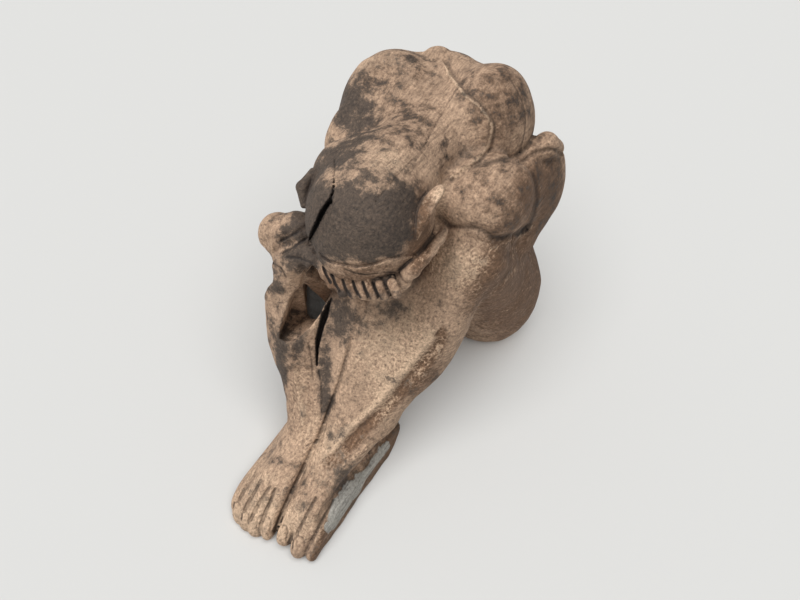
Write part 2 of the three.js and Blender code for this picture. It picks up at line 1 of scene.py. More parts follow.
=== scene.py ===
"""Seated praying figure, carved from one block of hardwood and long weathered.

The solid that the frame brings has the true outline. This script takes a copy of it, gives it
a fine skin and works the carving into that skin: fingers, ears, hair edge, toes and nails, the
splits and the worn knee. Lengths in the carving are in millimetres, in the carver's frame: the
figure looks along -Y, its left side is +X, the floor is Z = 0 and the skull is above X = 0.
Lines of the carving are laid out as they show from one viewing point, in picture units.
"""

import json
import math

import bmesh
import bpy
import numpy as np
from mathutils import Matrix, Vector

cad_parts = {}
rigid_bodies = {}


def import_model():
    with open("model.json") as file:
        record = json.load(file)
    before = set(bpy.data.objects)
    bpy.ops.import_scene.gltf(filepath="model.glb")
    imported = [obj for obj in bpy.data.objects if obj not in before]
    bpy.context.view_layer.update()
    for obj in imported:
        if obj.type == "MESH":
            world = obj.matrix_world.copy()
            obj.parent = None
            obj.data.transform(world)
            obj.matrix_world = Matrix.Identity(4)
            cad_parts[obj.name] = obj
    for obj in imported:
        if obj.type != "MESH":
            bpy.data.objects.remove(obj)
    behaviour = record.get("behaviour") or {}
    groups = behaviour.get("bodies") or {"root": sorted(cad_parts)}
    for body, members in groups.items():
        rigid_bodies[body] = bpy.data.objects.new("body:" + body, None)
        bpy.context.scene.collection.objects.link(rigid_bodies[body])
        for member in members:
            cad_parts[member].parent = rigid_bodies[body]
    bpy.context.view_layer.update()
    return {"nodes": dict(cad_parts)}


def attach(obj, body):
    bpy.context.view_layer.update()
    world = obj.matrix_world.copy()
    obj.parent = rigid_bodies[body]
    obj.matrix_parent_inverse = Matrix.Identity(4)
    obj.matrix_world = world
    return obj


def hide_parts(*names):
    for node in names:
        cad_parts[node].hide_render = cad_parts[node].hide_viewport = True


bl_info = {
    "name": "Praying figure carving",
    "version": (1, 0, 0),
    "blender": (4, 5, 0),
    "location": "3D View > Sidebar > Carving",
    "description": "Works the fine carving and the weathered wood of a seated praying figure",
    "category": "Object",
}

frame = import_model()

NODE = "praying_figure"
MM = 0.001
FLOOR_HALF = 15.0  # half the width of the studio floor, in metres
CARVER_ORIGIN = np.array([-1.422, 106.546, 0.0])  # the carver's zero, in the row frame, in mm
GRAIN_RISE = 38.8  # degrees; the fibres of the log run front to back and up
GRAIN_STRETCH = 0.085  # breadth of a fibre over its length

# Viewing point from which the lines of the carving are laid out, and its axes
VIEW_POINT = np.array([415.9, -794.3, 1049.7])
VIEW_BACK = np.array([0.3410, -0.5906, 0.7314])
VIEW_RIGHT = np.array([0.8660, 0.5, 0.0])
VIEW_UP = np.cross(VIEW_BACK, VIEW_RIGHT)
VIEW_LENGTH = 900.0  # from the eye to the picture, in picture units
PICTURE_WIDTH = 800.0
VIEW_CENTRE = (400.0, 300.0)


# Masses: each takes points as three rows and gives their distance, negative inside the wood


def ellipsoid(p, at, radii, tilt=0.0, power=2.0):
    """Ellipsoid, tilted about the X axis; a power above 2 squares it off."""
    c, s = math.cos(math.radians(tilt)), math.sin(math.radians(tilt))
    dx, dy, dz = p[0] - at[0], p[1] - at[1], p[2] - at[2]
    u = np.abs(dx / radii[0]) + 1e-6
    v = np.abs((dy * c + dz * s) / radii[1]) + 1e-6
    w = np.abs((dz * c - dy * s) / radii[2]) + 1e-6
    k = (u ** power + v ** power + w ** power) ** (1 / power)
    n = power - 1
    g = np.sqrt((u ** n / radii[0]) ** 2 + (v ** n / radii[1]) ** 2 + (w ** n / radii[2]) ** 2)
    return (k - 1.0) * k ** n / g


def bar(p, a, b, ra, rb):
    """Round bar whose radius changes along its length."""
    e = [b[i] - a[i] for i in range(3)]
    q = [p[i] - a[i] for i in range(3)]
    along = q[0] * e[0] + q[1] * e[1] + q[2] * e[2]
    t = np.clip(along / (e[0] ** 2 + e[1] ** 2 + e[2] ** 2), 0, 1)
    gap = np.sqrt(sum((q[i] - t * e[i]) ** 2 for i in range(3)))
    return gap - (ra + (rb - ra) * t)


def bars(p, points, radii, soft):
    """Round bars from point to point, softly joined."""
    d = bar(p, points[0], points[1], radii[0], radii[1])
    for i in range(1, len(points) - 1):
        d = blend(d, bar(p, points[i], points[i + 1], radii[i], radii[i + 1]), soft)
    return d


def blend(a, b, soft):
    """Joins two masses, with a fillet about as wide as soft."""
    h = np.maximum(soft - np.abs(a - b), 0.0) / soft
    return np.minimum(a, b) - h * h * soft * 0.25


def carve(a, b, soft):
    """Keeps what lies in both masses."""
    return -blend(-a, -b, soft)


def clamp01(t):
    return np.clip(t, 0.0, 1.0)


def ease(t):
    """Smooth step from 0 to 1."""
    t = clamp01(t)
    return t * t * (3.0 - 2.0 * t)


def signed_line(u, v, points):
    """Distance to a line drawn down the picture, positive towards the picture's right."""
    best, side = np.full(u.shape, 1e9), np.ones(u.shape)
    for (ax, ay), (bx, by) in zip(points[:-1], points[1:]):
        ex, ey = bx - ax, by - ay
        t = clamp01(((u - ax) * ex + (v - ay) * ey) / (ex * ex + ey * ey))
        gap = (u - ax - ex * t) ** 2 + (v - ay - ey * t) ** 2
        nearer = gap < best
        best = np.where(nearer, gap, best)
        side = np.where(nearer, np.sign((u - ax) * ey - (v - ay) * ex), side)
    return np.sqrt(best) * side


def line_distance(u, v, points):
    return np.abs(signed_line(u, v, points))


def area_distance(u, v, points):
    """Distance to a closed outline, negative inside."""
    inside = np.zeros(u.shape, bool)
    for (ax, ay), (bx, by) in zip(points, points[1:] + points[:1]):
        if ay != by:
            inside ^= ((ay > v) != (by > v)) & (u < (bx - ax) * (v - ay) / (by - ay) + ax)
    d = line_distance(u, v, points + points[:1])
    return np.where(inside, -d, d)


def rounded(points, times=2):
    """The closed outline with its corners cut, twice unless another number is asked for."""
    for _ in range(times):
        cut = []
        for (ax, ay), (bx, by) in zip(points, points[1:] + points[:1]):
            cut += [(0.75 * ax + 0.25 * bx, 0.75 * ay + 0.25 * by),
                    (0.25 * ax + 0.75 * bx, 0.25 * ay + 0.75 * by)]
        points = cut
    return points


def seen(p):
    """Where a point shows from the viewing point, and the millimetres of one picture unit."""
    q = p - VIEW_POINT[:, None]
    depth = -(VIEW_BACK @ q)
    u = VIEW_CENTRE[0] + VIEW_LENGTH * (VIEW_RIGHT @ q) / depth
    v = VIEW_CENTRE[1] - VIEW_LENGTH * (VIEW_UP @ q) / depth
    return u, v, depth / VIEW_LENGTH


def rough(p, size, seed):
    """Smooth irregular relief between -1 and 1, with bumps about size apart."""
    table = np.random.default_rng(seed).uniform(-1, 1, (32, 32, 32))
    q = p / np.reshape(size, (-1, 1))
    low = np.floor(q).astype(int)
    f = q - low
    f = f * f * (3 - 2 * f)
    total = 0.0
    for corner in range(8):
        bit = [(corner >> k) & 1 for k in range(3)]
        weight = 1.0
        for k in range(3):
            weight = weight * (f[k] if bit[k] else 1 - f[k])
        i, j, k = [(low[a] + bit[a]) & 31 for a in range(3)]
        total = total + weight * table[i, j, k]
    return total * 1.6


# The large masses, the same as those of the solid

# Ellipsoids: middle, half sizes, tilt in degrees, squareness

TRUNK = (0, 82, 224), (102, 96, 176), 20
LEFT_SHOULDER = (47, 66, 372), (56, 72, 82), 12
RIGHT_SHOULDER = (-76, 36, 366), (62, 76, 87), 12
UPPER_BACK = (-22, 90, 382), (66, 52, 56), 12
BUTTOCKS = [((x, 80, 84), (75, 78, 100)) for x in (64, -64)]
NAPE_LUMP = (-39, 90, 432), (18, 16, 13)
LAP = (2, -34, 312), (86, 84, 78)
LEFT_FLANK = [
    ((88, 34, 140), (50, 54, 84)), ((98, 48, 240), (37, 50, 58)), ((88, 6, 284), (40, 44, 40)),
    ((104, 40, 310), (36, 48, 58)),
]
LEFT_ARM = (96, -32, 344), (50, 58, 52), 0, 2.5
RIGHT_ARM = (-80, -30, 358), (42, 54, 62)
HIP_CLOTH = (106, 90, 284), (38, 54, 68), 0, 2.3
LEFT_CALF = (72, -118, 196), (42, 46, 84), -36
RIGHT_CALF = (-82, -184, 192), (40, 42, 84), -18
RIGHT_SOLE = (-41, -292, 10), (43, 102, 27), 0, 3
SKULL = (0, -142, 362), (74, 78, 78), -20
BACK_OF_SKULL = (-30, -110, 378), (60, 56, 52)
NECK_SIDE = (50, -62, 364), (22, 30, 22)
KNOB_ROOT = (-84, -168, 326), (24, 20, 20)
KNOB = (-109, -176, 313), (24, 23, 24), 0, 2.3
HANDS = (4, -148, 294), (54, 45, 42)

# Round bars: both ends and the radius at each

LEFT_KNEE = (94, -72, 286)
LEFT_THIGH = (74, 60, 105), LEFT_KNEE, 64, 50
LEFT_SHIN = LEFT_KNEE, (36, -224, 84), 47, 32
RIGHT_THIGH = (-74, 60, 105), (-84, -96, 262), 64, 46
RIGHT_SHIN = (-86, -172, 226), (-44, -230, 84), 44, 35
BETWEEN_SHINS = (2, -122, 246), (4, -222, 98), 50, 38
KNOB_NECK = (-98, -176, 290), (-84, -172, 258), 15, 22
STUMP = (-78, -192, 294), (-104, -204, 236), 20, 13
LEFT_SOLE = (38, -214, 36), (36, -345, 24), 42, 28
RIGHT_HEEL = (-44, -214, 34), (-40, -330, 22), 36, 24
NECK = (0, -80, 386), (12, 40, 382), 47, 43
NAPE_RIDGE = (-22, -62, 390), (-46, 46, 396), 30, 33
ARM_VALLEY = (-72, 6, 456), (-86, -70, 418), 28, 24
FINGER_BACKING = (-26, -186, 305), (58, -180, 316), 12, 11

# Bars through several points: the points, the radii and how softly they join

LEFT_INSTEP = [(30, -218, 84), (32, -270, 54), (32, -345, 34)], (38, 42, 30), 16
RIGHT_INSTEP = [(-26, -224, 84), (-24, -276, 50), (-30, -345, 30)], (33, 34, 27), 16
SASH = [(94, 40, 346), (108, 62, 356), (120, 84, 360), (125, 98, 348)], (9, 14, 15, 13), 8
TORN_WOOD = [(-100, -182, 302), (-72, -182, 310), (-46, -194, 314)], (18, 17, 13), 10
RIGHT_EAR = [(-76, -142, 396), (-79, -160, 384), (-71, -172, 370)], (5, 8, 5), 3

# The edge of the left shin, with the trough that runs beside it
SHIN_EDGE = [(96, -171, 223), (81, -197, 188), (59, -228, 145), (34, -261, 112)]
TROUGH_OFFSET = (15, -8, 3)
TROUGH_RADII = (17, 17, 17, 14)

# Toes: place across, place of the tip, half width, height of the root
TOE_START = -330
TOE_HEIGHT = 1.42  # height of a toe over its width
TOES = [
    (12, -398, 12, 26), (36.5, -401, 11.5, 25), (54.5, -394, 8, 22),
    (-10, -401, 10.3, 26), (-27.5, -403, 8.6, 24), (-42.5, -399, 8, 21), (-57.5, -392, 8, 18),
    (-71.5, -379, 8, 15),
]
TOE_BLEND = 2

# The cut left foot: its flat side, and the lean of that side above the sole
SLICE_X = 60
SLICE_START = -172  # the cut lies in front of this
SLICE_TOP = 92
LEAN_START = 38
LEAN = 14

# Places of the middle line across, from the toes to the shins
MIDDLE_Y = [-400, -372, -330, -312, -275, -260, -248, -233, -206, -180]
MIDDLE_X = [0, -2, -3, -4, -2, -1, 0, 4, 5, 8]
MIDDLE_DEPTH = 4
MIDDLE_HALF = 4.5

# Last joints of the fingers, in picture units, and how far they stand towards the viewer
FINGERS = [
    (322.5, 268), (330, 277.5), (340.5, 285.5), (351, 287), (361, 288.5), (371, 289),
    (382, 289.5), (394, 288),
]
FINGER_RADIUS = 5.9
FIRST_FINGER_HEIGHT = 352
FINGER_RISE = 34  # from the first finger to the last
LAST_KNUCKLE = 402, 281, 366  # backs the last finger
KNUCKLE_RADII = 11, 11, 11

# Long lobe of the left ear: place in the picture and height towards the viewer
LOBE = [
    (445, 229, 354), (440, 239, 360), (432, 249, 367), (423, 260, 374), (414, 270, 379),
    (408, 275, 380),
]
LOBE_RADII = (5, 6.5, 7, 7.5, 8, 7.5)

# Worn hollow in the right shin, its pocket and the break above it, square to the line of sight
HOLLOW = [
    (-160, 78), (-164.7, 73.4), (-171.4, 62.5), (-176.3, 47.3), (-183, 31.5), (-186.6, 22.9),
    (-187.8, 12), (-179.3, 8.3), (-169.6, 10.8), (-157.4, 17.5), (-145.3, 30.8), (-134.9, 43.6),
    (-126.4, 59.4), (-117, 75), (-129, 90), (-139, 101), (-150, 94),
]
HOLLOW_FLOOR = 216
HOLLOW_MIDDLE = 45
POCKET = [
    (-156.4, 84.3), (-157.7, 74.3), (-157.7, 55.7), (-155.8, 43.2), (-151.5, 37.6),
    (-144, 37), (-136.5, 43.9), (-129.7, 55.7), (-137.8, 66.3), (-147.1, 75.6),
]
POCKET_FLOOR = 190
SHIN_BREAK = [
    (-225, 117), (-192.5, 113), (-190.7, 100.5), (-189.4, 88), (-191.3, 82), (-198.7, 75.6),
    (-203.7, 69.4), (-207.5, 62), (-225, 62),
]
BREAK_FLOOR = 150

# Hair over the upper back
HAIR_STEP = 4.0
HAIR_LOW = 372
HAIR_EDGE = [
    (130, -260), (100, -120), (62, -86), (50, -68), (60, -56), (70, -44), (77, -25), (78, -4),
    (73, 12), (57, 18), (36, 21), (11, 41), (-6, 58), (-17, 69), (-32, 81), (-60, 90),
    (-100, 60), (-100, -260),
]


def back_form(p):
    d = ellipsoid(p, *TRUNK)
    d = blend(d, ellipsoid(p, *LEFT_SHOULDER), 26)
    d = blend(d, ellipsoid(p, *RIGHT_SHOULDER), 22)
    d = blend(d, ellipsoid(p, *UPPER_BACK), 22)
    for buttock in BUTTOCKS:
        d = blend(d, ellipsoid(p, *buttock), 36)
    return d


def leg_form(p):
    left = blend(bar(p, *LEFT_THIGH), bar(p, *LEFT_SHIN), 10)
    left = blend(left, ellipsoid(p, *LEFT_CALF), 26)
    right = blend(bar(p, *RIGHT_THIGH), bar(p, *RIGHT_SHIN), 10)
    right = blend(right, ellipsoid(p, *RIGHT_CALF), 26)
    d = blend(left, right, 8)
    d = blend(d, bar(p, *BETWEEN_SHINS), 30)
    return blend(d, bar(p, *KNOB_NECK), 6)


def foot_form(p):
    d = 1e6
    spread = 0.8 + 0.2 * clamp01((-p[1] - 250) / 150)
    for x, tip, half, rise in TOES:
        tall = TOE_HEIGHT * half
        q = np.stack([(p[0] - x * spread) * tall / half, p[1], p[2]])
        toe = bar(q, (0, TOE_START, rise + 4), (0, tip + tall, tall), rise, tall)
        d = blend(d, toe * 0.75, TOE_BLEND)
    left = blend(bars(p, *LEFT_INSTEP), bar(p, *LEFT_SOLE), 16)
    right = blend(bars(p, *RIGHT_INSTEP), ellipsoid(p, *RIGHT_SOLE), 16)
    right = blend(right, bar(p, *RIGHT_HEEL), 12)
    return blend(blend(d, left, 12), right, 12)


def sliced(p, d):
    """The outer side of the left foot is cut off flat, with a lean above the sole."""
    side = p[0] - SLICE_X + np.clip(p[2] - LEAN_START, 0, LEAN)
    share = clamp01((SLICE_START - p[1]) / 14) * clamp01((SLICE_TOP - p[2]) / 34)
    return d * (1 - share) + carve(d, side, 2) * share


def head_form(p):
    brow = 213 - 0.35 * p[1] - 0.94 * p[2]  # the flat under the brow
    d = blend(ellipsoid(p, *SKULL), ellipsoid(p, *BACK_OF_SKULL), 10)
    d = carve(d, brow, 8)
    d = blend(d, bar(p, *NECK), 26)
    return blend(d, bar(p, *NAPE_RIDGE), 14)


def in_picture(u, v, w):
    """The point that shows at a place of the picture, at a height w towards the viewer."""
    depth = VIEW_BACK @ VIEW_POINT - w
    ray = (u - VIEW_CENTRE[0]) * VIEW_RIGHT - (v - VIEW_CENTRE[1]) * VIEW_UP
    return VIEW_POINT + depth * (ray / VIEW_LENGTH - VIEW_BACK)


def finger_bars():
    """The last joints of the fingers, side by side under the brow, each leaning to the right."""
    made = []
    for u, v in FINGERS:
        w = FIRST_FINGER_HEIGHT + FINGER_RISE * ((u - 322) / 72) ** 1.2
        r = FINGER_RADIUS
        made.append((in_picture(u - 2.2, v - 4.5, w - 2), in_picture(u + 2.8, v + 6.4, w), r, r))
    return made


def middle_line(p):
    """Groove between the legs and between the feet."""
    at = np.interp(p[1], MIDDLE_Y, MIDDLE_X)
    reach = clamp01((282 - p[2]) / 12) * clamp01((-80 - p[1]) / 30)
    return MIDDLE_DEPTH * reach * np.exp(-(((p[0] - at) / MIDDLE_HALF) ** 2))


def hollow_form(p):
    """The worn hollow in the right shin, with a deep dark pocket, and the break above it."""
    a, b, w = VIEW_RIGHT @ p, VIEW_UP @ p, VIEW_BACK @ p
    rise = np.where(b < HOLLOW_MIDDLE, 0.8 * (HOLLOW_MIDDLE - b), 1.6 * (b - HOLLOW_MIDDLE))
    mouth = np.maximum(area_distance(a, b, HOLLOW), HOLLOW_FLOOR + rise - w)
    pocket = np.maximum(area_distance(a, b, POCKET), POCKET_FLOOR - w)
    missing = np.maximum(area_distance(a, b, SHIN_BREAK), BREAK_FLOOR - w)
    return np.minimum(np.minimum(mouth, pocket), missing)


def body_form(p):
    """Trunk, legs and feet, with lap, flank, arms, hip cloth and sash."""
    d = blend(back_form(p), sliced(p, blend(leg_form(p), foot_form(p), 24)), 22)
    d = blend(d, ellipsoid(p, *LAP), 8)
    for mass in LEFT_FLANK:
        d = blend(d, ellipsoid(p, *mass), 12)
    d = blend(d, ellipsoid(p, *LEFT_ARM), 7)
    d = blend(d, ellipsoid(p, *RIGHT_ARM), 10)
    d = blend(d, ellipsoid(p, *HIP_CLOTH), 12)
    return blend(d, bars(p, *SASH), 4)


def rough_form(p):
    """The figure before its fine carving."""
    d = blend(body_form(p), ellipsoid(p, *NAPE_LUMP), 5)
    d = blend(d, head_form(p), 4 + 26 * clamp01((p[1] + 60) / 60))
    d = blend(d, ellipsoid(p, *NECK_SIDE), 8)
    d = carve(d, -bar(p, *ARM_VALLEY), 16)
    d = blend(d, bars(p, *TORN_WOOD), 12)
    d = blend(d, bar(p, *STUMP), 14)
    d = blend(d, ellipsoid(p, *KNOB_ROOT), 10)
    d = blend(d, ellipsoid(p, *KNOB), 8)
    d = carve(d, -hollow_form(p), 2)
    d = blend(d, ellipsoid(p, *HANDS), 8)
    d = blend(d, bar(p, *FINGER_BACKING), 6)
    for finger in finger_bars():
        d = blend(d, bar(p, *finger), 2.5)
    d = blend(d, ellipsoid(p, in_picture(*LAST_KNUCKLE), KNUCKLE_RADII), 4)
    trough = [[at + by for at, by in zip(point, TROUGH_OFFSET)] for point in SHIN_EDGE]
    d = carve(d, -bars(p, trough, TROUGH_RADII, 4), 5)
    d = blend(d, bars(p, *RIGHT_EAR), 3)
    lobe = [in_picture(u, v, w) for u, v, w in LOBE]
    return blend(d, bars(p, lobe, LOBE_RADII, 3), 2)


def hair_step(p, d):
    """The hair lies over the upper back as one thin layer with a worn rim."""
    h = area_distance(p[0], p[1], rounded(HAIR_EDGE))
    low = clamp01((p[2] - HAIR_LOW) / 12)
    high = low * ease((p[0] + 36) / 20) * ease((p[1] + 120) / 50)
    d = d - HAIR_STEP * ease(0.5 - h / 4.0) * high
    return d - 1.0 * np.exp(-(((h + 3.5) / 2.2) ** 2)) * high


# Lines of the fine carving, as they show from the viewing point

# The open split in the skull
CHECK = [
    (334, 176), (332.5, 187), (330, 197), (325, 203), (319, 212), (315, 222), (311, 230),
    (308.3, 237), (308.7, 241), (311, 239), (314.5, 233), (318, 227), (322, 218), (326.5, 210),
    (331.5, 202), (332, 198), (334.5, 188),
]
# Torn strip beside that split
TORN_STRIP = [
    (332, 199), (333, 205), (331.5, 214), (329.5, 224), (327.5, 232), (324, 240), (318.5, 248),
    (316, 256), (311, 250), (310, 241), (316, 231), (322, 219), (327, 210),
]
# Hairline cracks
HAIRLINES = [
    [(334, 176), (335, 168), (334.5, 160)],
    [(412, 160), (400, 173), (388, 187), (374, 203)],
    [(456, 90), (447, 105), (438, 121), (430, 135), (425, 145)],
    [(450, 153), (443, 160), (436, 167)],
    [(345, 269), (355, 273), (367, 274.5), (383, 272), (396, 272.5)],
]
# Gaps between the fingers, midway from finger to finger, with a lean to the right
FINGER_GAPS = [
    [(ua / 2 + ub / 2 - 3, va / 2 + vb / 2 - 7), (ua / 2 + ub / 2, va / 2 + vb / 2 + 2),
     (ua / 2 + ub / 2 + 4.5, va / 2 + vb / 2 + 10)]
    for (ua, va), (ub, vb) in zip(FINGERS[:-1], FINGERS[1:])
]
# Torn fibres of the worn knee
TORN_LINES = [
    [(283, 253), (294, 247), (306, 239)], [(281, 241), (289, 237), (298, 232)],
    [(287, 257), (299, 258), (312, 263)], [(272, 262), (281, 268), (286, 277)],
]
# Line incised along the brow
BROW_LINE = [
    (319, 251), (322, 257), (330, 262), (343, 265), (357, 266.7), (367, 265.8), (377, 263.3),
    (388, 259.2), (400, 256.7), (413, 255), (419, 258),
]
BAND_RISE = 2.2
BAND_WIDTH = 15
# Rows of the left ear from the top down: height in the picture, left side, right side
EAR_ROWS = [
    (184.5, 438.5, 442.5), (188, 433, 445), (193, 428, 444), (199, 423, 440),
    (206, 419.5, 436), (214, 417, 432), (223, 416, 427), (232, 415.5, 422), (240, 416.5, 417.5),
]
EAR = [(left, v) for v, left, _ in EAR_ROWS] + [(right, v) for v, _, right in reversed(EAR_ROWS)]
EAR_THICKNESS = 13
EAR_PLACES = [184.5, 199, 214, 223, 240]  # down the picture
EAR_HEIGHTS = [391, 403, 409, 407, 398]  # how far the ear stands towards the viewer there
# Open split in the right shin
SPLIT = [
    (333, 295), (326, 305), (321, 314), (319, 323), (315, 340), (315.5, 352), (316, 366),
    (317.6, 366), (318.6, 349), (321.4, 337), (324.4, 326), (328, 317), (330.5, 304),
]
# Cracks in the shins
SHIN_LINES = [
    [(319, 371), (321, 385), (322, 400), (321, 420)],
    [(308.6, 343), (311.4, 360), (313, 380)],
    [(306, 446), (312, 443), (319, 441)],
]
# Gaps between the toes
TOE_LINES = [
    [(316, 498), (308, 513), (301, 526), (295, 538)],
    [(333, 500), (328, 510), (321, 523), (311, 542)],
    [(275, 489), (271, 500), (266, 511), (261, 524)],
    [(270, 486), (263, 497), (255.5, 510), (251, 520)],
    [(261, 481), (255, 492), (249.5, 501), (245, 510)],
    [(256, 473), (250, 482), (243, 493), (239.5, 500)],
]
# Edges of the toenails
NAILS = [
    [(256.5, 528), (257.5, 518), (262, 515), (268, 516.5), (271, 521), (270, 531)],
    [(275.5, 537), (276.5, 528), (280.5, 524.5), (286, 526), (288, 531), (286, 540)],
    [(292.5, 548), (293.5, 539), (297.5, 535.5), (303, 537.5), (304.5, 543)],
    [(241.5, 520), (242.5, 513), (246.5, 511.5), (249, 515), (248.5, 523)],
    [(233.5, 508), (234.5, 502.5), (238.5, 502), (240.5, 506)],
]
# Creases and edges of sash, hip cloth, hair, arm and back, then the crests of the shins
ROLL_FOLD = [(519, 164), (527, 158), (537, 152), (549, 149), (557, 150), (561, 154)]
CLOTH_EDGE = [(532, 172), (536, 185), (537, 198), (534, 214), (527, 230)]
HAIR_RIM = [
    (446, 67), (450, 75), (456, 84), (466, 97), (478, 105), (488, 117), (492, 127), (491, 135),
    (488, 147), (478, 159), (466, 167), (452, 177),
]
HAIR_RIM_LOW = 340  # the rim lies above this height
ARM_CREASE = [
    (440, 217), (451, 226), (471, 227), (483, 230), (493, 237), (501, 237), (517, 233), (527, 225),
]
DOME_CREASE = [(456, 178), (470, 168), (488, 163), (505, 160), (517, 155), (530, 144)]
HIP_CREASE = [(497, 240), (507, 254), (509, 270), (496, 283), (484, 294), (480, 310), (473, 327)]
SHIN_CREST = [(432, 338), (407, 369), (381, 401), (358, 422), (341, 440), (331, 451)]
RIGHT_CREST = [(290, 345), (292, 360), (295, 380), (300, 400), (303, 415), (302, 426)]
BETWEEN_LEGS = [
    (350, 346), (344, 366), (339, 383), (331, 403), (326, 417), (320, 434), (311, 451),
    (304, 466), (297, 480), (289, 497), (280.5, 515), (274, 531),
]
DOME_LINE = [(509, 77), (516, 89), (522, 101), (525.5, 116), (525, 131), (521, 148), (516, 160)]

# Lines that need a finer skin
FINE_LINES = HAIRLINES + SHIN_LINES + NAILS + [DOME_LINE, HAIR_RIM]


def near(view, zone, points, margin, distance):
    """The points of a zone near a line or outline, and their distances from it in mm."""
    u, v, mm = view
    us, vs = [a for a, _ in points], [b for _, b in points]
    across = (u > min(us) - margin) & (u < max(us) + margin)
    i = np.nonzero(zone & across & (v > min(vs) - margin) & (v < max(vs) + margin))[0]
    return i, distance(u[i], v[i], points) * mm[i]


def groove(d, view, zone, line, depth, half):
    """Cuts a V groove along a line."""
    i, s = near(view, zone, line, half + 1, line_distance)
    d[i] += depth * clamp01(1 - s / half)


def crest(d, view, zone, line, rise, hollow, half=3.0):
    """Sharpens a ridge along a line and hollows the slope at its lower right."""
    i, s = near(view, zone, line, 26, signed_line)
    slope = np.exp(-(((s - 3 * half) / (1.8 * half)) ** 2))
    d[i] += hollow * slope - rise * np.exp(-((s / half) ** 2))


def recess(d, view, zone, outline, depth, soft):
    """Lowers the wood inside an outline."""
    i, s = near(view, zone, outline, soft + 1, area_distance)
    d[i] += depth * ease(0.5 - s / soft)


def zones(p):
    """The points of the head and hands, of the front of the shins, and of the feet."""
    head = (p[2] > 285) & (p[1] < -20)
    front = (-0.8 * (p[1] + 148) + 0.6 * (p[2] - 185) > 0) & (p[1] < -80) & (p[2] < 300)
    return head, front, (p[2] < 120) & (p[1] < -200)


def pushed(p, i, depths):
    """The points with those of the list i driven into the wood."""
    p = p.copy()
    p[:, i] -= VIEW_BACK[:, None] * depths
    return p


def opened(p, zone, outline, depth, wall):
    """Opens a split inside an outline in the finished skin."""
    i, s = near(seen(p), zone, outline, 1, area_distance)
    return pushed(p, i, depth * clamp01(-s / wall))


def scored(p, zone, line, depth, half):
    """Presses a V groove into the finished skin along a line."""
    i, s = near(seen(p), zone, line, half + 1, line_distance)
    return pushed(p, i, depth * clamp01(1 - s / half))


def ear_height(v):
    """How far the ear's flat side stands towards the viewer, down its length."""
    return np.interp(v, EAR_PLACES, EAR_HEIGHTS)


def ear_leaf(p, d, view):
    """The long left ear, a thin leaf that stands off the side of the skull."""
    i, s = near(view, (p[1] < -60) & (p[1] > -200) & (p[2] > 340), EAR, 14, area_distance)
    w = VIEW_BACK @ p[:, i]
    top = ear_height(view[1][i])
    leaf = carve(s, w - top, 4)
    leaf = carve(leaf, top - EAR_THICKNESS - w, 4)
    d[i] = blend(d[i], leaf, 2.5)


def brow_band(d, view, zone):
    """A raised band along the brow, under a fine incised line."""
    u, v, mm = view
    i, _ = near(view, zone, BROW_LINE, 24, line_distance)
    us, vs = [a for a, _ in BROW_LINE], [b for _, b in BROW_LINE]
    t = (v[i] - np.interp(u[i], us, vs)) * mm[i]
    ends = ease((u[i] - 317) / 5) * ease((421 - u[i]) / 6)
    d[i] -= BAND_RISE * ease(t / BAND_RISE) * (1 - ease((t - BAND_WIDTH) / 8)) * ends
    d[i] += 1.1 * np.exp(-(((t + 1.0) / 1.3) ** 2)) * ends


def wood_relief(p):
    """Slow undulation and the dents of the tools."""
    return 1.0 * rough(p, (46, 46, 46), 3) + 0.5 * rough(p, (15, 15, 15), 5)


def torn_relief(p):
    """Deep fibrous roughness of the worn knee and the torn wood beside it."""
    reach = np.exp(-((p[0] + 84) / 42) ** 2 - ((p[1] + 190) / 34) ** 2 - ((p[2] - 300) / 46) ** 2)
    slant = np.stack([p[0] * 0.8 + p[2] * 0.6, p[1], p[2] * 0.8 - p[0] * 0.6])
    return reach * (2.2 * rough(slant, (24, 16, 8), 11) + 1.5 * rough(p, (8, 8, 8), 13))


def fine_form(p):
    """The figure with its fine carving, which the skin is settled on."""
    d = rough_form(p)
    view = seen(p)
    head, front, feet = zones(p)
    cloth = (p[0] > 60) & (p[1] > 0) & (p[2] > 200)
    d = hair_step(p, d) + middle_line(p) + wood_relief(p) + torn_relief(p)
    ear_leaf(p, d, view)
    brow_band(d, view, head & (p[1] < -150))
    recess(d, view, head, TORN_STRIP, depth=2.4, soft=2)
    for line in HAIRLINES:
        groove(d, view, p[2] > 285, line, depth=1.6, half=1.3)
    for line in SHIN_LINES:
        groove(d, view, front, line, depth=1.6, half=1.5)
    crest(d, view, front, SHIN_CREST, rise=1.6, hollow=4.5)
    crest(d, view, front, RIGHT_CREST, rise=1.4, hollow=1.6)
    groove(d, view, front | feet, BETWEEN_LEGS, depth=3.5, half=2.4)
    for line in TOE_LINES:
        groove(d, view, feet, line, depth=4.0, half=2.6)
    for line in NAILS:
        groove(d, view, feet, line, depth=1.1, half=1.5)
    upper = p[2] > 200
    crest(d, view, p[2] > HAIR_RIM_LOW, HAIR_RIM, rise=1.4, hollow=1.6, half=1.7)
    groove(d, view, upper, ARM_CREASE, depth=5.0, half=6.0)
    groove(d, view, upper, DOME_CREASE, depth=3.0, half=5.0)
    groove(d, view, upper, HIP_CREASE, depth=2.5, half=8.0)
    groove(d, view, cloth, ROLL_FOLD, depth=4.0, half=4.0)
    groove(d, view, cloth, CLOTH_EDGE, depth=1.6, half=4.0)
    groove(d, view, (p[1] > 0) & (p[2] > 330), DOME_LINE, depth=1.0, half=1.6)
    return np.maximum(d, -p[2])


# Making the skin

